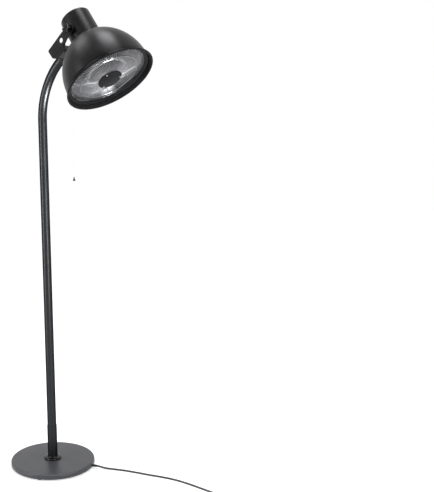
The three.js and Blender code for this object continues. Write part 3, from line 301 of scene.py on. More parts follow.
# The bowl's chrome has a very dark colour, a painted reflection of dark surroundings that the white world does
# not give. The wires, of the same chrome, have a much lighter one, a painted highlight on the wires.
CHROME = Finish("bright_chrome", "chrome", (0.07, 0.072, 0.075), 1.0, 0.28, 0.03,
                Grain.SPUN, 0.000004, 300.0, wear=0.04, brushed=1.0)
WIRE_CHROME = Finish("bright_wire", "chrome", (0.34, 0.34, 0.35), 1.0, 0.13, 0.06, depth=0.00001, wear=0.06)
ZINC = Finish("zinc_steel", "zinc_steel", (0.42, 0.43, 0.45), 1.0, 0.28, 0.16, depth=0.00001, scale=500.0)
IRON = Finish("black_cast_iron", "cast_iron", (0.028, 0.028, 0.03), 0.5, 0.55, 0.15,
              Grain.CAST, 0.0002, 500.0, wear=0.3)
RUBBER = Finish("black_rubber", "rubber", (0.012, 0.012, 0.012), 0.0, 0.7, 0.12, depth=0.00004, scale=1500.0)
SHEATH = Finish("black_cord_sheath", "cord", (0.011, 0.011, 0.012), 0.0, 0.5, 0.12, depth=0.00002)
QUARTZ = Finish("clear_quartz", "quartz", (0.95, 0.97, 0.98), 0.0, 0.02, 0.03, depth=0.000004,
                scale=200.0, glass=0.96, wear=0.01)
FILAMENT = Finish("dark_heating_wire", "zinc_steel", (0.2, 0.19, 0.18), 0.9, 0.4, 0.1, depth=0.000004)
CERAMIC = Finish("white_ceramic", "ceramic", (0.7, 0.67, 0.6), 0.0, 0.5, 0.15)
STRING = Finish("braided_string", "string", (0.72, 0.72, 0.7), 0.0, 0.75, 0.1, Grain.BRAID, 0.0002, 500.0)
BRASS = Finish("plated_brass", "brass", (0.62, 0.5, 0.28), 1.0, 0.2, 0.12, depth=0.000006)
FINISHES = {f.slot: f for f in (BRUSHED, SATIN, YOKE_COAT, ENAMEL, GLOSS, PLASTIC, CHROME, ZINC, IRON,
                                RUBBER, SHEATH, QUARTZ, CERAMIC, STRING, BRASS)}


# ------------------------------------------------------------------ making pieces


def moved(x: float = 0.0, y: float = 0.0, z: float = 0.0) -> Matrix:
    """Gives the move by so many millimetres."""
    return Matrix.Translation((x * MM, y * MM, z * MM))


def turned(degrees: float, axis: str) -> Matrix:
    """Gives the turn by so many degrees about an axis."""
    return Matrix.Rotation(math.radians(degrees), 4, axis)


def linked(name: str, data: bpy.types.ID) -> bpy.types.Object:
    """Makes an object of a mesh, curve, camera or lamp, and puts it in the scene."""
    made = bpy.data.objects.new(name, data)
    bpy.context.scene.collection.objects.link(made)
    return made


def meshed(name: str, form: Form) -> bpy.types.Mesh:
    """Turns a form into a mesh of that name, and frees the form."""
    mesh = bpy.data.meshes.new(name)
    form.to_mesh(mesh)
    form.free()
    return mesh


def of_kind(geometry: Iterable[object], kind: type) -> list:
    """Picks the corners, edges or faces out of what an operator gives."""
    return [item for item in geometry if isinstance(item, kind)]


def piece(name: str, form: Form, finish: Finish, body: Body, replaces: Iterable[str] = (),
          place: Matrix = AT_ORIGIN, bevel: float = 0.0) -> bpy.types.Object:
    """Makes a finished piece of a form and lets it ride.

    Args:
        name: the piece's name.
        form: its shape, which is freed.
        finish: its surface.
        body: the body that it moves with.
        replaces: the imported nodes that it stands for.
        place: where the form goes.
        bevel: width of a bevel on its sharp edges in millimetres, or 0.

    Returns:
        The new object, at the origin, with its place in its mesh.
    """
    bmesh.ops.remove_doubles(form, verts=form.verts, dist=WELD)
    form.transform(place)
    bmesh.ops.recalc_face_normals(form, faces=form.faces)
    mesh = meshed(name, form)
    mesh.polygons.foreach_set("use_smooth", [True] * len(mesh.polygons))
    mesh.set_sharp_from_angle(angle=SHARP_ANGLE)
    made = linked(name, mesh)
    if bevel:
        rounding = made.modifiers.new("rounded_edges", "BEVEL")
        rounding.width, rounding.segments, rounding.limit_method = bevel * MM, 2, "ANGLE"
        rounding.angle_limit = math.radians(40)
        rounding.harden_normals = True
    return dressed(made, finish, body, replaces)


def dressed(made: bpy.types.Object, finish: Finish, body: Body,
            replaces: Iterable[str] = ()) -> bpy.types.Object:
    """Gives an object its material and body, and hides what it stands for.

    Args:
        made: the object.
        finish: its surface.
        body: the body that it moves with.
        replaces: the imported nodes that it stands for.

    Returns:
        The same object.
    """
    made.data.materials.clear()
    made.data.materials.append(finish.material())
    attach(made, body.value)
    if replaces:
        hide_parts(*replaces)
    log.info("made %s", made.name)
    return made


def spun(outline: Iterable[Point], sides: int = 96, closed: bool = True) -> Form:
    """Spins an outline about Z.

    Args:
        outline: radius and height of each point, in millimetres.
        sides: steps of the full turn.
        closed: whether the last point joins the first.

    Returns:
        The turned shape.
    """
    form = bmesh.new()
    corners = [form.verts.new((r * MM, 0, z * MM)) for r, z in outline]
    edges = [form.edges.new(pair) for pair in zip(corners, corners[1:])]
    if closed:
        edges.append(form.edges.new((corners[-1], corners[0])))
    bmesh.ops.spin(form, geom=corners + edges, cent=(0, 0, 0), axis=(0, 0, 1), angle=FULL_TURN,
                   steps=sides, use_merge=True)
    bmesh.ops.remove_doubles(form, verts=form.verts, dist=WELD)
    bmesh.ops.dissolve_degenerate(form, dist=WELD / 10, edges=form.edges)
    return form


def arc(x: float, y: float, radius: float, start: float, end: float, steps: int) -> list[tuple[float, float]]:
    """Gives points on an arc, with both ends.

    Args:
        x: the centre's first coordinate.
        y: the centre's second coordinate.
        radius: the arc's radius.
        start: its first angle, in degrees.
        end: its last angle, in degrees.
        steps: number of stretches.

    Returns:
        The points.
    """
    angles = [math.radians(start + (end - start) * i / steps) for i in range(steps + 1)]
    return [(x + radius * math.cos(a), y + radius * math.sin(a)) for a in angles]


def sheet(line: Sequence[Point], thickness: float) -> list[tuple[float, float]]:
    """Gives the closed outline of sheet metal.

    Args:
        line: points of its one face, with the metal at their left.
        thickness: of the metal.

    Returns:
        The outline.
    """
    ways = [(Vector(b) - Vector(a)).normalized() for a, b in zip(line, line[1:])]
    inner = []
    for i, point in enumerate(line):
        before, after = ways[max(i - 1, 0)], ways[min(i, len(ways) - 1)]
        middle = (before + after).normalized()
        reach = thickness / middle.dot(after)
        inner.append((point[0] - middle.y * reach, point[1] + middle.x * reach))
    return [tuple(p) for p in line] + inner[::-1]


def drum(radius: float, low: float, high: float, edge: float = 0.0, sides: int = 48) -> Form:
    """Makes a round rod or disc about Z with rounded rims.

    Args:
        radius: its radius, in millimetres.
        low: its lower height.
        high: its upper height.
        edge: rounding of both rims.
        sides: steps round it.

    Returns:
        The shape.
    """
    rims = [(radius, low), (radius, high)]
    if edge:
        rims = [*arc(radius - edge, low + edge, edge, -90, 0, 4),
                *arc(radius - edge, high - edge, edge, 0, 90, 4)]
    return spun([(0, low), *rims, (0, high)], sides, closed=False)


def rounded(form: Form, edges: Iterable[bmesh.types.BMEdge], width: float, segments: int) -> None:
    """Rounds edges of a form.

    Args:
        form: the shape.
        edges: which of its edges.
        width: of the rounding, in millimetres.
        segments: its steps.
    """
    bmesh.ops.bevel(form, geom=edges, offset=width * MM, offset_type="OFFSET", segments=segments,
                    profile=0.5, affect="EDGES", material=-1)


def block(size: Point, centre: Point, edge: float = 0.0, segments: int = 3) -> Form:
    """Makes a block with rounded edges.

    Args:
        size: its three sizes, in millimetres.
        centre: its middle, in millimetres.
        edge: rounding of its edges.
        segments: steps of the rounding.

    Returns:
        The shape.
    """
    form = bmesh.new()
    bmesh.ops.create_cube(form, size=1)
    bmesh.ops.scale(form, vec=Vector(size) * MM, verts=form.verts)
    if edge:
        rounded(form, form.edges[:], edge, segments)
    bmesh.ops.translate(form, vec=Vector(centre) * MM, verts=form.verts)
    return form


def ring(radius: float, height: float, thickness: float) -> Form:
    """Makes a ring of round wire about Z.

    Args:
        radius: of the wire's middle, in millimetres.
        height: of the wire's middle.
        thickness: of the wire.

    Returns:
        The shape.
    """
    return spun(arc(radius, height, thickness / 2, 0, 360 - 360 / 10, 9), 128)


def together(*forms: Form) -> Form:
    """Puts all forms in the first, which it gives back, and frees the others."""
    whole, *others = forms
    for other in others:
        shuttle = meshed("shuttle", other)
        whole.from_mesh(shuttle)
        bpy.data.meshes.remove(shuttle)
    return whole


def turned_round(form: Form, count: int, radius: float = 0.0, start: float = 0.0) -> Form:
    """Repeats a form round Z.

    Args:
        form: the shape, near the axis or at its place.
        count: how many there are.
        radius: how far along X the first goes, in millimetres.
        start: the first one's angle, in degrees.

    Returns:
        The form with its copies.
    """
    form.transform(turned(start, "Z") @ moved(radius))
    first = form.verts[:] + form.edges[:] + form.faces[:]
    for i in range(1, count):
        copy = bmesh.ops.duplicate(form, geom=first)["geom"]
        bmesh.ops.rotate(form, verts=of_kind(copy, bmesh.types.BMVert), cent=(0, 0, 0),
                         matrix=Matrix.Rotation(FULL_TURN * i / count, 3, "Z"))
    return form


def plate(outer: Sequence[Point], holes: Sequence[Sequence[Point]], thickness: float) -> Form:
    """Makes a flat plate with holes, upwards from Z = 0.

    Args:
        outer: its outline, in millimetres.
        holes: the outlines of its holes.
        thickness: of the plate.

    Returns:
        The shape.
    """
    form = bmesh.new()
    edges = []
    for loop in (outer, *holes):
        corners = [form.verts.new((x * MM, y * MM, 0)) for x, y in loop]
        edges += [form.edges.new((a, b)) for a, b in zip(corners, corners[1:] + corners[:1])]
    faces = bmesh.ops.triangle_fill(form, use_beauty=True, use_dissolve=True, edges=edges)["geom"]
    raised = bmesh.ops.extrude_face_region(form, geom=of_kind(faces, bmesh.types.BMFace))["geom"]
    bmesh.ops.translate(form, vec=(0, 0, thickness * MM), verts=of_kind(raised, bmesh.types.BMVert))
    return form


def wire(name: str, points: Sequence[Vector], radius: float, sides: int = 12,
         radii: Sequence[float] | None = None) -> bpy.types.Object:
    """Makes a round tube along points, as a curve.

    Args:
        name: the curve's name.
        points: its middle line, in metres.
        radius: of the tube, in millimetres.
        sides: steps round it, an even number.
        radii: the tube's share of its radius at each point.

    Returns:
        The curve object.
    """
    data = bpy.data.curves.new(name, "CURVE")
    data.dimensions, data.bevel_depth, data.use_fill_caps = "3D", radius * MM, True
    data.bevel_resolution = max(0, sides // 2 - 2)
    line = data.splines.new("POLY")
    line.points.add(len(points) - 1)
    for spot, point, share in zip(line.points, points, radii or [1.0] * len(points)):
        spot.co = (*point, 1)
        spot.radius = share
    line.use_smooth = True
    return linked(name, data)


def rod(points: Sequence[Vector], radius: float, sides: int = 12,
        radii: Sequence[float] | None = None) -> Form:
    """Makes a round tube along points, as a form.

    Args:
        points: its middle line, in metres.
        radius: of the tube, in millimetres.
        sides: steps round it, an even number.
        radii: the tube's share of its radius at each point.

    Returns:
        The shape.
    """
    curve = wire("line", points, radius, sides, radii)
    bpy.context.view_layer.update()
    mesh = bpy.data.meshes.new_from_object(curve)
    form = bmesh.new()
    form.from_mesh(mesh)
    bpy.data.meshes.remove(mesh)
    bpy.data.objects.remove(curve)
    bmesh.ops.remove_doubles(form, verts=form.verts, dist=WELD)
    return form


def carve(target: bpy.types.Object, tool: Form) -> None:
    """Cuts a form out of a piece.

    Args:
        target: the piece, whose mesh is changed.
        tool: what is cut away, which is freed.
    """
    bmesh.ops.recalc_face_normals(tool, faces=tool.faces)
    cutter = linked("cutter", meshed("cutter", tool))
    cut = target.modifiers.new("cut", "BOOLEAN")
    cut.operation, cut.solver, cut.object = "DIFFERENCE", "EXACT", cutter
    bpy.context.view_layer.update()
    done = bpy.data.meshes.new_from_object(target.evaluated_get(bpy.context.evaluated_depsgraph_get()))
    target.modifiers.remove(cut)
    old = target.data
    done.name = old.name + "_cut"
    target.data = done
    bpy.data.meshes.remove(old)
    bpy.data.objects.remove(cutter)


def screw(radius: float, height: float) -> Form:
    """Makes a domed screw head with a raised cross, which stands on Z = 0.

    Args:
        radius: of the head, in millimetres.
        height: of the head.

    Returns:
        The shape.
    """
    head = spun([(0, 0), (radius, 0), (radius, 0.35 * height), (0.86 * radius, 0.72 * height),
                 (0.55 * radius, 0.96 * height), (0, height)], 20, closed=False)
    arms = [block((long * radius, short * radius, 0.12), (0, 0, height - 0.02))
            for long, short in ((1.1, 0.24), (0.24, 1.1))]
    return together(head, *arms)


# ------------------------------------------------------------------ base


@dataclass
class WeightedBase:
    """The round base with its collar, feet and strain relief. Sizes in millimetres."""

    radius: float = 177.5
    height: float = 20.0
    edge: float = 6.0
    sheet: float = 1.5
    skirt: float = 1.0
    hole: float = 20.8
    foot_circle: float = 160.0
    foot_count: int = 5
    foot_start: float = -152.6
    foot_radius: float = 11.0
    foot_height: float = 4.0
    foot_edge: float = 0.8
    foot_stem: float = 4.0
    foot_stem_top: float = 6.0
    collar_radius: float = 36.5
    collar_height: float = 10.0
    plate_screw_circle: float = 128.0
    cord_angle: float = -66.0
    cord_height: float = 8.5
    relief_seat: float = 175.1
    relief_length: float = 24.0
    relief_radius: float = 5.5
    relief_tip: float = 4.4
    relief_ribs: int = 6
    relief_groove: float = 0.9

    def build(self) -> None:
        """Makes every piece of the base."""
        self.make_cover()
        self.make_collar()
        self.make_feet()
        self.make_relief()
        between_feet = self.foot_start + 180 / self.foot_count
        screws = turned_round(screw(3.6, 1.6), self.foot_count, self.plate_screw_circle, between_feet)
        piece("base_plate_screws", screws, ZINC, Body.STAND, place=turned(180, "X"))

    def make_cover(self) -> None:
        """Makes the pressed cover with its rolled edge."""
        rim = self.edge
        line = [(self.radius - 0.7, self.skirt), (self.radius, self.skirt + 0.9),
                *arc(self.radius - rim, self.height - rim, rim, 0, 90, 12),
                (self.radius - rim - 8, self.height), (self.collar_radius, self.height),
                (self.hole, self.height)]
        cover = piece("base_top", spun(sheet(line, self.sheet), FINE), SATIN, Body.STAND, ["base_cover"])
        hole = drum(self.relief_radius + GAP, self.radius - rim, self.radius + rim, sides=24)
        hole.transform(self.cord_place())
        carve(cover, hole)

    def cord_place(self) -> Matrix:
        """Gives the turn that lays a form about Z along the cord's way out."""
        return turned(self.cord_angle, "Z") @ moved(z=self.cord_height) @ turned(90, "Y")

    def make_collar(self) -> None:
        """Makes the glossy collar round the pole's foot."""
        foot = self.height + GAP
        top = foot + self.collar_height
        line = [(self.hole, foot), (self.collar_radius - 0.6, foot), (self.collar_radius, foot + 0.6),
                *arc(self.collar_radius - 3, foot + 3, 3, 0, 80, 6),
                *arc(self.hole + 7.5, top + 2.2, 6, 235, 190, 6)[1:],
                (self.hole + 1.8, top - 0.3), (self.hole + 1.2, top), (self.hole, top)]
        piece("collar", spun(line), GLOSS, Body.STAND, ["base_collar"])

    def make_feet(self) -> None:
        """Makes the rubber feet."""
        low, edge, side = -self.foot_height, self.foot_edge, self.foot_radius
        line = [(0, low), (side - 3, low), (side - 2.6, low + 0.4), (side - 1.6, low + 0.4), (side - 1.4, low),
                *arc(side - edge, low + edge, edge, -90, 0, 3), *arc(side - edge, -GAP - edge, edge, 0, 90, 3),
                (self.foot_stem, -GAP), (self.foot_stem, self.foot_stem_top), (0, self.foot_stem_top)]
        for i in range(self.foot_count):
            foot = turned_round(spun(line, 36, closed=False), 1, self.foot_circle,
                                self.foot_start + 360 / self.foot_count * i)
            piece(f"foot_{i + 1}", foot, RUBBER, Body.STAND, [f"rubber_foot_{i + 1}"])

    def make_relief(self) -> None:
        """Makes the ribbed strain relief, which tapers to the cord."""
        seat, tip, start = self.relief_seat, self.radius + self.relief_length, self.radius + 2
        line = [(0, seat - 5), (7, seat - 5), (7, seat), (self.relief_radius, seat),
                (self.relief_radius, start)]
        pitch = (tip - 2 - start) / self.relief_ribs
        for i in range(self.relief_ribs):
            at = start + pitch * i
            size = self.relief_radius + (self.relief_tip - self.relief_radius) * (i + 1) / self.relief_ribs
            line += [(size - self.relief_groove, at + 0.1), (size - self.relief_groove, at + 0.35 * pitch),
                     (size, at + 0.45 * pitch), (size, at + pitch)]
        line += [(self.relief_tip - 0.5, tip), (0, tip)]
        piece("strain_relief", spun(line, 32, closed=False), RUBBER, Body.STAND, ["cord_relief"],
              self.cord_place())


# ------------------------------------------------------------------ pole


@dataclass
class Pole:
    """The two-part pole in its socket. Sizes in millimetres."""

    radius: float = 19.0
    wall: float = 1.5
    foot: float = 14.5
    seam: float = 832.0
    straight: float = 1461.0
    bend_radius: float = 300.0
    arm_end: float = 33.0
    socket_radius: float = 20.5
    socket_wall: float = 1.2
    socket_top: float = 160.0

    def build(self) -> None:
        """Makes the socket and both poles."""
        top, inner = self.socket_top, self.socket_radius - self.socket_wall
        socket = [(inner, self.foot), (self.socket_radius, self.foot), (self.socket_radius, top - 0.5),
                  (self.socket_radius - 0.4, top - 0.1), (inner + 0.2, top), (inner, top - 0.3)]
        bore = self.radius - self.wall
        lower = [(bore, self.foot), (self.radius, self.foot), (self.radius, self.seam - 0.7),
                 (self.radius - 0.5, self.seam), (bore, self.seam)]
        for name, node, line in (("socket", "pole_socket", socket), ("pole_lower", "lower_pole", lower)):
            piece(name, spun(line, 64), SHADED_POLE_PAINT, Body.STAND, [node])
        points = self.upper_line()
        radii = [0.974] + [1.0] * (len(points) - 1)
        piece("pole_upper", rod(points, self.radius, 48, radii), SHADED_POLE_PAINT, Body.STAND, ["upper_pole"])

    def upper_line(self) -> list[Vector]:
        """Gives the upper pole's middle line, in metres."""
        foot = self.seam + GAP
        line = [(0, foot), (0, foot + 0.6)]
        line += arc(-self.bend_radius, self.straight, self.bend_radius, 0, math.degrees(ARM_LEAN), 40)
        way = Vector((-math.sin(ARM_LEAN), math.cos(ARM_LEAN)))
        line.append(Vector(line[-1]) + way * (self.arm_end - GAP))
        return [Vector((0, y * MM, z * MM)) for y, z in line]


# ------------------------------------------------------------------ yoke


@dataclass
class Yoke:
    """The strap at the pole's end with its cover and pull string. Sizes in millimetres."""

    length: float = 144.0
    sheet: float = 3.0
    width: float = 43.0
    chamfer: float = 4.0
    inside: float = 72.5
    cheek_hole: float = 10.0
    cheek_hole_at: float = 62.0
    lip_depth: float = 26.0
    lip_sheet: float = 2.2
    lip_top: float = -30.0
    lip_full: float = -86.0
    lip_neck_side: float = 66.0
    screw_places: tuple[float, float] = (-52.0, -34.0)
    cover_front: float = 96.97
    cover_half: float = 19.0
    cover_round: float = 6.0
    string_x: float = 46.0
    guide_side: float = 2.5
    guide_bend: float = 10.0
    guide_flange: float = 1.5
    guide_drop: float = 14.0
    guide_radius: float = 3.4
    string_radius: float = 1.0
    string_in_guide: float = 13.0
    bell_top: float = 1217.0
    bell_height: float = 16.0
    bell_radius: float = 5.5

    def build(self) -> None:
        """Makes every piece of the yoke."""
        self.make_strap()
        self.make_cover()
        self.make_string()

    def make_strap(self) -> None:
        """Makes the bent strap: a web and two cheeks with lips folded in on the dome's side."""
        half, flat, end = self.width / 2, self.width / 2 - self.chamfer, -self.length
        cheek = [*arc(0, 0, half, 0, 180, 40), (-half, end + self.chamfer), (-flat, end), (flat, end),
                 (half, end + self.chamfer)]
        holes = [arc(0, 0, STUD_BORE, 0, 345, 23), arc(0, -self.cheek_hole_at, self.cheek_hole, 0, 352, 44)]
        parts = []
        for x in (-self.inside - self.sheet, self.inside):
            parts.append(plate(cheek, holes, self.sheet))
            parts[-1].transform(moved(x) @ ACROSS)
        for side in (-1, 1):
            inner, outer = side * (self.inside - self.lip_depth), side * (self.inside + 1)
            lip = [(outer, self.lip_top), (outer, end + 1), (inner, end + 1), (inner, self.lip_full),
                   (side * self.lip_neck_side, (self.lip_top + self.lip_full) / 2)]
            parts.append(plate(lip, [], self.lip_sheet))
            parts[-1].transform(moved(y=self.lip_sheet - half) @ turned(90, "X"))
        parts.append(block((2 * self.inside + 0.4, self.width - 2, self.sheet), (0, 0, self.sheet / 2 + end)))
        piece("yoke", together(*parts), YOKE_COAT, Body.STAND, ["yoke_strap"], YOKE_PLACE, bevel=0.5)
        studs = [screw(4.0, 2.2) for _ in self.screw_places]
        for form, x in zip(studs, self.screw_places):
            form.transform(moved(x, z=end) @ turned(180, "X"))
        piece("yoke_screws", together(*studs), ZINC, Body.STAND, place=YOKE_PLACE)

    def make_cover(self) -> None:
        """Makes the moulded cover between the cheeks, rounded along its two long front edges."""
        foot = self.sheet - self.length + GAP
        size = (2 * (self.inside - GAP), 2 * self.cover_half, -self.cover_front - foot)
        cover = block(size, (0, 0, (foot - self.cover_front) / 2))
        front = -(self.cover_front + 1) * MM
        ends = [(edge, [v.co for v in edge.verts]) for edge in cover.edges]
        long = [edge for edge, (a, b) in ends if min(a.z, b.z) > front and abs(a.y - b.y) < WELD]
        rounded(cover, long, self.cover_round, 8)
        piece("moulded_cover", cover, PLASTIC, Body.STAND, ["yoke_cover"], YOKE_PLACE, bevel=0.6)

    def make_string(self) -> None:
        """Makes the string's guide, the string, and the bell at its end."""
        seat = YOKE_PLACE @ (Vector((self.string_x, self.guide_side, -(self.length + GAP))) * MM)
        start = seat + YOKE_PLACE.to_3x3() @ Vector((0, 0, -1)) * self.guide_flange * MM
        points = [seat, start]
        for i in range(1, 11):
            lean = ARM_LEAN * (1 - i / 10)
            shift = self.guide_bend * (math.cos(lean) - math.cos(ARM_LEAN))
            drop = self.guide_bend * (math.sin(ARM_LEAN) - math.sin(lean))
            points.append(start + Vector((0, shift, -drop)) * MM)
        mouth = points[-1] - Vector((0, 0, self.guide_drop)) * MM
        points += [mouth + Vector((0, 0, 0.8)) * MM, mouth]
        radii = [1.0] * (len(points) - 1) + [0.82]
        piece("guide", rod(points, self.guide_radius, 20, radii), PLASTIC, Body.STAND, ["string_guide"])
        end = mouth.z / MM + self.string_in_guide
        line = [Vector((self.string_x * MM, mouth.y, z * MM))
                for z in (self.bell_top - 8, 1300, 1400, 1500, 1600, end)]
        piece("string", rod(line, self.string_radius), STRING, Body.PULL_CORD, ["pull_string"])
        foot, top, side = self.bell_top - self.bell_height, self.bell_top, self.bell_radius
        bell = [(0, foot + 1.6), (side - 2.2, foot + 1.2), (side - 1.4, foot + 0.1), (side - 0.7, foot),
                (side, foot + 0.7), (side, foot + 2),
                *[(side * (0.36 + 0.64 * (1 - t) ** 1.6), foot + 2 + t * (top - foot - 3))
                  for t in (0.12, 0.25, 0.4, 0.55, 0.7, 0.85, 1.0)],
                (self.string_radius + 0.5, top), (0, top)]
        piece("bell", spun(bell, 40, closed=False), GLOSS, Body.PULL_CORD, ["pull_bell"],
              moved(self.string_x, mouth.y / MM))


# ------------------------------------------------------------------ clamps


@dataclass
class Clamp:
    """One side's boss, washer and star knob on the tilt axis. Sizes in millimetres, turn in degrees."""

    side: str
    body: Body
    turn: float
    neck_radius: float = 63.0
    boss_radius: float = 13.0
    boss_end: float = 70.9
    washer_radius: float = 12.0
    cheek_outside: float = 75.5
    knob_radius: float = 17.0
    lobes: int = 6
    lobe_height: float = 2.0
    hub_radius: float = 11.0
    hub_length: float = 10.0
    cap_radius: float = 8.2
    thickness: float = 13.0

    def build(self) -> None:
        """Makes the pieces for +X and turns them to their side."""
        place = CLAMP_PLACE @ turned(self.turn, "Z") @ turned(90, "Y")
        foot, end, bore = self.neck_radius - 3, self.boss_end, STUD_BORE
        boss = [(bore, foot), (self.boss_radius, foot), *arc(self.boss_radius - 0.8, end - 0.8, 0.8, 0, 90, 4),
                (bore, end)]
        piece("boss_" + self.side, spun(boss, 48), YOKE_COAT, Body.HEAD, ["pivot_boss_" + self.side], place)
        foot, end = self.boss_end + GAP, self.boss_end + GAP + 1
        washer = [(bore, foot), (self.washer_radius, foot), (self.washer_radius, end), (bore, end)]
        piece("washer_" + self.side, spun(washer, 48), PLASTIC, Body.HEAD, ["friction_washer_" + self.side],
              place)
        self.make_knob(place)

    def make_knob(self, place: Matrix) -> None:
        """Makes the star knob with its hub, dished face and cap.

        Args:
            place: what lays a form about Z along the tilt axis.
        """
        hub_foot = self.cheek_outside + GAP
        foot = hub_foot + self.hub_length
        top = foot + self.thickness
        steps = self.lobes * 16
        grip = bmesh.new()
        bmesh.ops.create_circle(grip, cap_ends=True, radius=1, segments=steps)
        levels = [(foot, 0.905), (foot + 0.5, 0.955), (foot + 1.6, 1.0), (top - 1.8, 1.0), (top - 0.6, 0.955),
                  (top - 0.1, 0.89), (top, 0.8), (top - 0.9, 0.66), (top - 1.1, 0.6)]
        self.shape_ring(grip.verts, *levels[0])
        face = grip.faces[:]
        for level in levels[1:]:
            face = of_kind(bmesh.ops.extrude_face_region(grip, geom=face)["geom"], bmesh.types.BMFace)
            self.shape_ring({v for f in face for v in f.verts}, *level)
            gone = [f for f in grip.faces if len(f.verts) == steps and f not in face]
            if len(gone) > 1:
                bmesh.ops.delete(grip, geom=gone[1:], context="FACES_ONLY")
        hub = spun([(STUD_BORE, hub_foot), (self.hub_radius - 0.6, hub_foot),
                    (self.hub_radius, hub_foot + 0.6), (self.hub_radius, foot + 1), (STUD_BORE, foot + 1)], 48)
        knob = together(grip, hub, drum(self.cap_radius, top - 2, top - 0.35, 0.5))
        piece("star_knob_" + self.side, knob, GLOSS, self.body, ["knob_" + self.side], place)

    def shape_ring(self, corners: Iterable[bmesh.types.BMVert], height: float, share: float) -> None:
        """Puts the corners of a ring on the knob's lobed outline.

        Args:
            corners: the ring's corners.
            height: its height, in millimetres.
            share: its size against the full outline.
        """
        for corner in corners:
            angle = math.atan2(corner.co.y, corner.co.x)
            reach = (self.knob_radius + self.lobe_height * math.cos(self.lobes * angle)) * share * MM
            corner.co = (reach * math.cos(angle), reach * math.sin(angle), height * MM)


# ------------------------------------------------------------------ head


@dataclass
class Shell:
    """The dome, neck and rim. Sizes in millimetres, heights from the rim plane."""

    dome_radius: float = 174.0
    dome_rise: float = 202.0
    dome_foot: float = 22.8
    dome_flange: float = 11.0
    sheet: float = 1.5
    neck_radius: float = 63.0
    neck_top: float = 330.0
    neck_edge: float = 5.0
    vent_count: int = 8
    vent_size: tuple[float, float, float] = (26.0, 4.0, 12.0)
    vent_reach: float = 31.0
    rim_radius: float = 185.0
    rim_height: float = 21.0
    rim_lip: float = 7.0
    rim_edge: float = 1.5
    rim_seat: float = 16.0
    opening: float = 157.5

    def build(self) -> None:
        """Makes every piece of the shell."""
        self.make_dome()
        self.make_neck()
        self.make_rim()

    def dome_top(self) -> float:
        """Gives the height at which the dome meets the neck."""
        return self.dome_foot + self.dome_rise * math.sqrt(1 - (self.neck_radius / self.dome_radius) ** 2)

    def make_dome(self) -> None:
        """Makes the spun dome with its inward flange under the neck."""
        end = math.degrees(math.acos(self.neck_radius / self.dome_radius))
        curve = [(x * self.dome_radius, self.dome_foot + y * self.dome_rise)
                 for x, y in arc(0, 0, 1, 0, end, 48)]
        line = [(self.dome_radius, self.rim_height + GAP), *curve,
                (self.neck_radius - 1.2, self.dome_top() - 0.05),
                (self.neck_radius - self.dome_flange, self.dome_top())]
        piece("dome", spun(sheet(line, self.sheet), FINE), BRUSHED, Body.HEAD, ["dome_shade"], HEAD_PLACE)

    def make_neck(self) -> None:
        """Makes the neck with its rounded top and vent slots."""
        foot, edge = self.dome_top() + GAP, self.neck_edge
        line = [(self.neck_radius - 0.5, foot), (self.neck_radius, foot + 0.5),
                *arc(self.neck_radius - edge, self.neck_top - edge, edge, 0, 90, 8), (0, self.neck_top)]
        neck = piece("neck", spun(sheet(line, self.sheet), closed=False), BRUSHED, Body.HEAD, ["neck_housing"],
                     HEAD_PLACE)
        slots = turned_round(block(self.vent_size, (self.vent_reach, 0, self.neck_top), 1.9, 4),
                             self.vent_count)
        slots.transform(HEAD_PLACE)
        carve(neck, slots)

    def make_rim(self) -> None:
        """Makes the flared rim and the inner front ring."""
        bore = self.dome_radius - self.sheet - GAP
        lip, edge, seat = self.rim_radius - self.rim_lip, self.rim_edge, self.rim_seat
        flare = self.rim_radius - self.dome_radius - 0.6
        curve = [(self.rim_radius - flare * math.sin(t * math.pi / 2) ** 1.3, 4 + 17 * t)
                 for t in (0.0, 0.12, 0.25, 0.4, 0.55, 0.7, 0.85, 1.0)]
        line = [(lip, GAP), (lip + 0.6, 0), *arc(self.rim_radius - edge, edge, edge, -90, 0, 5), *curve,
                (bore, self.rim_height), (bore, seat),
                *[(bore + (lip - bore) * t, seat - (seat - GAP) * t ** 0.8) for t in (0.25, 0.5, 0.75)]]
        piece("rim", spun(line, FINE), ENAMEL, Body.HEAD, ["rim_ring"], HEAD_PLACE)
        flange = bore - GAP
        inner = [(self.opening, 21), (self.opening + 0.8, 20.4), (self.opening + 5, 18.9), (flange - 1, 16.4),
                 (flange, 16.9), (flange, 29)]
        piece("inner_ring", spun(sheet(inner, 1.0), FINE), ENAMEL, Body.HEAD, ["front_ring"], HEAD_PLACE)


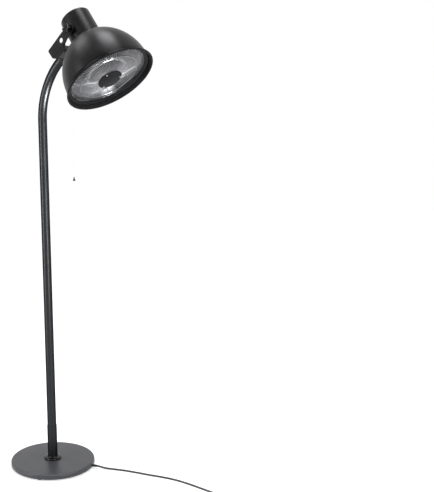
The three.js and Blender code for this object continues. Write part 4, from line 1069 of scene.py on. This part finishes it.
@dataclass
class Grille:
    """The radial wires, their rings and the disc in the middle. Sizes in millimetres."""

    count: int = 106
    thickness: float = 1.8
    ring_thickness: float = 2.6
    outer: float = 163.0
    outer_height: float = 23.9
    middle: float = 122.0
    middle_thickness: float = 2.0
    inner: float = 46.0
    inner_height: float = 6.4
    disc_radius: float = 50.0
    disc_thickness: float = 2.4
    post_circle: float = 38.0
    screw_circle: float = 43.5

    def height(self, radius: float) -> float:
        """Gives the height of the wires' middle over the rim plane, at a distance from the axis."""
        share = (radius - self.inner) / (self.outer - self.inner)
        return self.inner_height + (self.outer_height - self.inner_height) * share

    def build(self) -> None:
        """Makes the wires, the rings and the disc with its screws."""
        ends = [Vector((r * MM, 0, self.height(r) * MM)) for r in (self.inner, self.outer)]
        wires = turned_round(rod(ends, self.thickness / 2, 8), self.count, 0, 360 / self.count / 2)
        rings = [ring(self.outer, self.outer_height + 0.4, self.ring_thickness),
                 ring(self.inner, self.inner_height, self.ring_thickness)]
        piece("wires", together(wires, *rings), WIRE_CHROME, Body.HEAD, ["grille"], HEAD_PLACE)
        back = self.height(self.middle) - self.thickness / 2 - self.middle_thickness / 2
        piece("wire_ring", ring(self.middle, back, self.middle_thickness), WIRE_CHROME, Body.HEAD,
              ["grille_ring"], HEAD_PLACE)
        back = self.inner_height - self.thickness / 2 - 2 * GAP
        front, side = back - self.disc_thickness, self.disc_radius
        line = [(0, front), (side - 6.5, front), (side - 5.6, front + 0.25), (side - 2.2, front + 0.25),
                (side - 0.5, front + 0.8), (side, front + 1.4), (side, back - 0.3), (side - 0.3, back),
                (0, back)]
        posts = turned_round(drum(3, back - 0.2, self.height(side) + 0.9, sides=16), 3, self.post_circle, 90)
        disc = together(spun(line, closed=False), posts)
        piece("disc", disc, ENAMEL, Body.HEAD, ["centre_disc"], HEAD_PLACE)
        heads = turned_round(screw(2.6, 1.3), 3, self.screw_circle, -90)
        piece("disc_screws", heads, ZINC, Body.HEAD, place=HEAD_PLACE @ moved(z=front) @ turned(180, "X"))


@dataclass
class Lamp:
    """The reflector, the ring lamp and its caps. Sizes in millimetres, angles in degrees."""

    front: float = 25.2
    radius: float = 156.0
    depth: float = 66.0
    flange: float = 9.0
    sheet: float = 1.0
    bore: float = 8.0
    ledges: tuple[float, float] = (25.0, 45.0)
    ledge: float = 4.0
    circle: float = 80.0
    tube: float = 6.5
    height: float = 42.0
    top: float = 90.0
    spread: float = 12.0
    bend: float = 12.0
    leg_top: float = 106.0
    cap_foot: float = 85.0
    cap_top: float = 112.0
    cap_wall: float = 2.5
    coil_radius: float = 3.4
    coil_turns: int = 150
    coil_margin: float = 5.0
    coil_wire: float = 0.45

    def build(self) -> None:
        """Makes the reflector, the lamp with its heating coil, and the ceramic caps."""
        self.make_reflector()
        piece("quartz_ring", rod(self.route(), self.tube, 24), QUARTZ, Body.HEAD, ["ring_lamp"], HEAD_PLACE)
        self.make_coil()
        self.make_caps()

    def bowl_line(self) -> list[tuple[float, float]]:
        """Gives radius and height of the bowl's front face, from its bore to its flange."""
        line = [(self.radius + self.flange, self.front), (self.radius + 2.5, self.front),
                (self.radius + 0.8, self.front + 0.4)]
        last = math.degrees(math.acos((self.bore + self.ledge * len(self.ledges)) / self.radius))
        stops = [1.0, *self.ledges, last]
        for step, (start, end) in enumerate(zip(stops, stops[1:])):
            line += [(self.radius * x - self.ledge * step, self.front + self.depth * y)
                     for x, y in arc(0, 0, 1, start, end, math.ceil((end - start) / 3))]
        return line[::-1]

    def make_reflector(self) -> None:
        """Makes the stepped bowl with the two holes for the lamp's legs."""
        bowl = piece("bowl", spun(sheet(self.bowl_line(), self.sheet), FINE), CHROME, Body.HEAD, ["reflector"],
                     HEAD_PLACE)
        for side in (-1, 1):
            hole = self.at_leg(drum(self.tube + GAP, self.front, self.cap_top, sides=24), side)
            hole.transform(HEAD_PLACE)
            carve(bowl, hole)

    def at_leg(self, form: Form, side: int) -> Form:
        """Moves a form from the axis to the lamp's leg on one side."""
        return turned_round(form, 1, self.circle, self.top + side * self.spread)

    def on_circle(self, degrees: float, height: float, reach: float = 0.0) -> Vector:
        """Gives a place, in metres, near the lamp's circle.

        Args:
            degrees: its angle round the head.
            height: its height over the rim plane.
            reach: how far it lies outside the circle.

        Returns:
            The place.
        """
        angle, radius = math.radians(degrees), self.circle + reach
        return Vector((radius * math.cos(angle), radius * math.sin(angle), height)) * MM

    def route(self) -> list[Vector]:
        """Gives the lamp's middle line, in metres, from leg to leg."""
        bends = [(self.spread + math.degrees(x / self.circle), self.height + self.bend + y)
                 for x, y in arc(self.bend, 0, self.bend, 180, 270, 8)]
        leg = [(self.spread, self.leg_top), *bends[:-1]]
        start, steps = bends[-1][0], 96
        ring_part = [self.on_circle(self.top + start + (360 - 2 * start) * i / steps, self.height)
                     for i in range(steps + 1)]
        return [*[self.on_circle(self.top + x, y) for x, y in leg], *ring_part,
                *[self.on_circle(self.top - x, y) for x, y in leg[::-1]]]

    def make_coil(self) -> None:
        """Makes the heating coil inside the quartz ring."""
        start, samples = self.spread + self.coil_margin, self.coil_turns * 8
        points = []
        for i in range(samples + 1):
            swing = FULL_TURN * self.coil_turns * i / samples
            points.append(self.on_circle(self.top + start + (360 - 2 * start) * i / samples,
                                         self.height + self.coil_radius * math.sin(swing),
                                         self.coil_radius * math.cos(swing)))
        piece("heating_coil", rod(points, self.coil_wire, 4), FILAMENT, Body.HEAD, place=HEAD_PLACE)

    def make_caps(self) -> None:
        """Makes the ceramic caps on the lamp's legs."""
        bore, out, foot, top = self.tube + GAP, self.tube + GAP + self.cap_wall, self.cap_foot, self.cap_top
        line = [(bore, foot), (out - 0.5, foot), (out, foot + 0.5), (out, top - 1), (out - 1, top), (0, top),
                (0, self.leg_top + GAP), (bore, self.leg_top + GAP)]
        for i, side in enumerate((1, -1)):
            piece(f"ceramic_cap_{i + 1}", self.at_leg(spun(line, 36), side), CERAMIC, Body.HEAD,
                  [f"lamp_cap_{i + 1}"], HEAD_PLACE)


# ------------------------------------------------------------------ mains cord


@dataclass
class MainsCord:
    """The mains cord, stored coil and plug. Sizes in millimetres."""

    radius: float = 3.5
    length: float = 1940.0
    exit_angle: float = -66.0
    exit_radius: float = 201.8
    exit_height: float = 8.5
    coil_centre: tuple[float, float] = (160.0, -726.0)
    coil_radius: float = 48.0
    pitch: float = 7.7
    turns: float = 5.4
    lift: float = 1.3
    tie_width: float = 8.0
    tie_sheet: float = 0.8
    tie_gap: float = 0.4
    tail: float = 101.0
    plug_rest: float = 2.7
    plug_size: tuple[float, float, float] = (34.0, 26.0, 13.4)
    plug_tail: float = 14.0
    pin_spacing: float = 15.0
    laid: tuple[tuple[float, float, float], ...] = (
        (100, -211, 2.2), (124, -255, 0), (140, -291, 0), (156, -339, 0), (171, -387, 0),
        (186, -430, 0), (199, -474, 0), (207, -524, 0), (209, -578, 0), (208.5, -630, 0), (208, -676, 0))
    tail_points: tuple[tuple[float, float], ...] = (
        (9, 8.6), (22, 7.8), (36, 5.4), (50, 2.6), (64, 0.6), (78, 0.8))

    def build(self) -> None:
        cord = dressed(wire("mains_lead", self.route(), self.radius), SHEATH, Body.STAND,
                       ["mains_cord", "cord_coil"])
        plug, pins = self.make_plug()
        tie = self.make_tie()

    def rest(self) -> float:
        """Gives the height of the cord's middle where it lies on the floor."""
        return FLOOR / MM + self.radius

    def way_out(self, radius: float, height: float) -> Vector:
        """Gives a place, in metres, on the line that the cord follows out of the base."""
        angle = math.radians(self.exit_angle)
        return Vector((radius * math.cos(angle), radius * math.sin(angle), height)) * MM

    def coil_point(self, turn: float) -> Vector:
        """Gives a place on the coil, in metres, after so many turns."""
        middle = self.turns / 2
        radius = self.coil_radius - self.pitch * (middle - abs(turn - middle))
        climb = min(1.0, max(0.0, (turn - middle) * 2 + 0.5))
        angle = -FULL_TURN * turn
        x, y = self.coil_centre
        return Vector((x + radius * math.cos(angle), y + radius * math.sin(angle),
                       self.rest() + self.lift + self.pitch * climb)) * MM

    def coil_way(self) -> Vector:
        """Gives the direction in which the cord leaves the coil."""
        way = self.coil_point(self.turns) - self.coil_point(self.turns - 0.001)
        way.z = 0
        return way.normalized()

    def past_coil(self, along: float, height: float) -> Vector:
        """Gives a place, in metres, on the straight line on which the cord leaves the coil."""
        spot = self.coil_point(self.turns) + self.coil_way() * along * MM
        spot.z = height * MM
        return spot

    def route(self) -> list[Vector]:
        """Gives the cord's whole middle line, in metres, from the strain relief to the plug."""
        beside = Vector((0, 2 * self.radius, 0)) * MM
        start = self.coil_point(0)
        knots = [self.way_out(self.exit_radius + 2 * self.radius, self.exit_height - 0.6),
                 *[Vector((x, y, self.rest() + lift)) * MM for x, y, lift in self.laid], start + beside]
        loose = [self.way_out(self.exit_radius, self.exit_height), *smooth_line(knots, 5)]
        steps = round(self.turns * 24)
        coil = [self.coil_point(self.turns * i / steps) for i in range(steps + 1)]
        coil[1:3] = [start - beside]
        spots = [(along, self.rest() + lift) for along, lift in self.tail_points]
        spots += [(along, self.plug_rest) for along in (self.tail - 2 * self.radius, self.tail)]
        tail = [coil[-1], *[self.past_coil(*spot) for spot in spots]]
        return [*loose, *coil, *smooth_line(tail, 4)[1:]]

    def make_tie(self) -> bpy.types.Object:
        """Makes the strap round the coil's turns, and gives it back."""
        low = self.rest() + self.lift - self.radius - self.tie_gap
        high = low + self.pitch + 2 * (self.radius + self.tie_gap)
        near = self.coil_radius - self.pitch * self.turns / 2 - self.radius - self.tie_gap
        far = self.coil_radius + self.radius + self.tie_gap
        corners = ((near + 1, low + 1, 180), (far - 1, low + 1, 270), (far - 1, high - 1, 0),
                   (near + 1, high - 1, 90))
        outer, inner = ([point for x, y, start in corners for point in arc(x, y, size, start, start + 90, 4)]
                        for size in (1 + self.tie_sheet, 1))
        place = moved(*self.coil_centre) @ turned(-90, "Z") @ moved(y=self.tie_width / 2) @ turned(90, "X")
        return piece("coil_tie", plate(outer, [inner], self.tie_width), SHEATH, Body.STAND, ["cord_tie"],
                     place)

    def make_plug(self) -> tuple[bpy.types.Object, bpy.types.Object]:
        """Makes the moulded plug and its two pins, and gives both back."""
        way = self.coil_way()
        place = (Matrix.Translation(self.past_coil(self.tail + GAP, self.plug_rest))
                 @ Matrix.Rotation(math.atan2(way.y, way.x), 4, "Z"))
        length, width, _ = self.plug_size
        middle = self.plug_tail + length / 2
        body = block(self.plug_size, (middle, 0, 0))
        for corner in body.verts:
            if corner.co.x < middle * MM:
                corner.co.y *= 0.72
        rounded(body, body.edges[:], 2.5, 4)
        grips = [block((1.2, width + 1, 9), (x, 0, 0), 0.3, 2) for x in (26, 29, 32, 35)]
        for grip in grips:
            bmesh.ops.scale(grip, vec=(1, 0.955, 1), verts=grip.verts)
        line, rings = [(0, 0), (4.1, 0)], 5
        for i in range(rings):
            size, foot = 4.1 + 1.6 * (i + 1) / rings, 2.6 * i
            line += [(size, foot + 0.8), (size, foot + 2.0), (size - 0.8, foot + 2.1),
                     (size - 0.8, foot + 2.6)]
        tail = spun([*line, (5.7, 14.5), (0, 14.5)], 28, closed=False)
        tail.transform(turned(90, "Y"))
        plug = piece("plug", together(body, tail, *grips), SHEATH, Body.STAND, ["plug_body"], place)
        pins = []
        for side in (-1, 1):
            pins.append(spun([(0, 47), (2.2, 47), (2.2, 65.4), (1.4, 66.8), (0, 67)], 24, closed=False))
            pins[-1].transform(moved(y=side * self.pin_spacing / 2) @ turned(90, "Y"))
        return plug, piece("pins", together(*pins), BRASS, Body.STAND, ["plug_pins"], place)


def smooth_line(knots: Sequence[Vector], steps: int) -> list[Vector]:
    """Draws a smooth line through points, whose bends don't overshoot.

    Args:
        knots: the points.
        steps: stretches between two of them.

    Returns:
        Points on the line, with both ends.
    """
    padded = [2 * knots[0] - knots[1], *knots, 2 * knots[-1] - knots[-2]]
    found = [knots[0].copy()]
    for a, b, c, d in zip(padded, padded[1:], padded[2:], padded[3:]):
        t = [0.0]
        for p, q in ((a, b), (b, c), (c, d)):
            t.append(t[-1] + max((q - p).length, 1e-9) ** 0.5)
        for i in range(1, steps + 1):
            at = t[1] + (t[2] - t[1]) * i / steps
            ab = a.lerp(b, (at - t[0]) / (t[1] - t[0]))
            bc = b.lerp(c, (at - t[1]) / (t[2] - t[1]))
            cd = c.lerp(d, (at - t[2]) / (t[3] - t[2]))
            left = ab.lerp(bc, (at - t[0]) / (t[2] - t[0]))
            right = bc.lerp(cd, (at - t[1]) / (t[3] - t[1]))
            found.append(left.lerp(right, (at - t[1]) / (t[2] - t[1])))
    return found


# ------------------------------------------------------------------ studio


@dataclass(frozen=True)
class Softbox:
    """A soft lamp: its place and the point it shines at, its sizes in metres, watts, and cone in degrees."""

    name: str
    place: tuple[float, float, float]
    aim: tuple[float, float, float]
    width: float
    height: float
    power: float
    cone: float = 180.0

    def make(self) -> None:
        """Makes the lamp."""
        data = bpy.data.lights.new(self.name, "AREA")
        data.shape, data.size, data.size_y, data.energy = "RECTANGLE", self.width, self.height, self.power
        data.spread = math.radians(self.cone)
        made = linked(self.name, data)
        made.location = self.place
        made.rotation_euler = (Vector(self.aim) - Vector(self.place)).to_track_quat("-Z", "Y").to_euler()


@dataclass
class Studio:
    """The camera, the floor and the lights. Sizes in metres."""

    camera_place: tuple[float, float, float] = (-2.1094, -2.3078, 1.2807)
    right: tuple[float, float] = (0.7083, -0.7059)
    roll: float = math.radians(1.77)
    lens: float = 60.61
    shift: tuple[float, float] = (0.3263, -0.1941)
    sky: float = 0.28
    floor_drop: float = 0.00005
    floor_glow: tuple[float, float] = (0.52, 0.82)
    floor_reach: tuple[float, float] = (0.3, 3.2)
    lamps: tuple[Softbox, ...] = (
        Softbox("left_strip", (-3.2, 1.1, 1.3), (0, 0, 1.3), 0.5, 2.6, 75),
        Softbox("right_strip", (-0.57, -3.25, 1.3), (0, 0, 1.3), 0.5, 2.6, 45),
        Softbox("top", (0.15, -0.35, 4.3), (0, -0.2, 1.6), 1.0, 1.0, 90),
        Softbox("side", (1.3, -2.6, 3.3), (0, -0.3, 1.7), 1.0, 1.0, 45),
        Softbox("low", (-0.3, -2.3, 0.2), (0, -0.32, 1.65), 1.5, 0.9, 38, 45),
        Softbox("back", (-0.7, 1.7, 4.2), (0, -0.2, 1.5), 1.2, 1.2, 40))

    def build(self) -> None:
        """Sets up the whole studio."""
        self.make_camera()
        self.make_floor()
        self.make_world()
        for lamp in self.lamps:
            lamp.make()
        bpy.context.scene.view_settings.view_transform = "Standard"

    def make_camera(self) -> None:
        """Makes the camera, level but for its small roll."""
        data = bpy.data.cameras.new("camera")
        data.sensor_fit, data.sensor_width, data.lens = "HORIZONTAL", 36.0, self.lens
        data.shift_x, data.shift_y = self.shift
        data.clip_start, data.clip_end = 0.05, 60
        data.dof.use_dof = False
        side, up = Vector((*self.right, 0)), Vector((0, 0, 1))
        right = math.cos(self.roll) * side - math.sin(self.roll) * up
        top = math.sin(self.roll) * side + math.cos(self.roll) * up
        turn = Matrix((right, top, right.cross(top))).transposed().to_4x4()
        camera = linked("camera", data)
        camera.matrix_world = Matrix.Translation(self.camera_place) @ turn
        bpy.context.scene.camera = camera

    def make_floor(self) -> None:
        """Makes the pale floor, which glows a little more far off, with its shadow kept."""
        form = bmesh.new()
        bmesh.ops.create_grid(form, x_segments=1, y_segments=1, size=14)
        bmesh.ops.translate(form, vec=(0, 0, FLOOR - self.floor_drop), verts=form.verts)
        floor = linked("floor", meshed("floor", form))
        made = bpy.data.materials.new("pale_floor")
        made.use_nodes = True
        tree = made.node_tree
        away = add_node(tree, "VectorMath", {0: add_node(tree, "TexCoord", {}, "Object")}, "Value",
                        operation="LENGTH")
        (near, far), (low, high) = self.floor_reach, self.floor_glow
        glow = add_node(tree, "MapRange", {"Value": away, "From Min": near, "From Max": far,
                                           "To Min": low, "To Max": high})
        gain = add_node(tree, "Math", {0: self.looked_at(tree), 1: glow}, operation="MULTIPLY")
        feed(tree, tree.nodes["Principled BSDF"], {
            "Base Color": (0.66, 0.66, 0.66, 1), "Roughness": 0.7, "Specular IOR Level": 0.2,
            "Emission Color": (1, 1, 1, 1), "Emission Strength": gain})
        floor.data.materials.append(made)

    @staticmethod
    def looked_at(tree: bpy.types.NodeTree) -> Socket:
        """Gives 1 for what the camera sees, by itself or in metal and glass, and 0 for what only lights.

        Args:
            tree: the node tree to add to.

        Returns:
            The value.
        """
        total, *ways = [add_node(tree, "LightPath", {}, f"Is {way} Ray")
                        for way in ("Camera", "Glossy", "Transmission")]
        for way in ways:
            total = add_node(tree, "Math", {0: total, 1: way}, operation="ADD", use_clamp=True)
        return total

    def make_world(self) -> None:
        """Makes the white world, which lights less than it shows."""
        world = bpy.data.worlds.new("studio")
        bpy.context.scene.world = world
        world.use_nodes = True
        tree = world.node_tree
        level = add_node(tree, "MapRange", {"Value": self.looked_at(tree), "To Min": self.sky, "To Max": 1.0})
        feed(tree, tree.nodes["Background"], {"Color": (1, 1, 1, 1), "Strength": level})


def dress_packed_nodes() -> None:
    """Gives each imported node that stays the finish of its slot."""
    slots = {entry["node"]: entry["material_slot"] for entry in frame["record"]["subparts"]}
    for name, made in frame["nodes"].items():
        made.data.materials.clear()
        made.data.materials.append(FINISHES[slots[name]].material())


def main() -> None:
    """Builds the heater's looks, class by class."""
    logging.basicConfig(level=logging.INFO, format="%(name)s: %(message)s")
    Studio().build()
    dress_packed_nodes()
    for part in (MainsCord(), WeightedBase(), Pole(), Yoke(), Clamp("right", Body.RIGHT_CLAMP, 0.0),
                 Clamp("left", Body.LEFT_CLAMP, 180.0), Shell(), Grille(), Lamp()):
        part.build()
    bpy.context.view_layer.update()


if __name__ == "__main__":
    main()
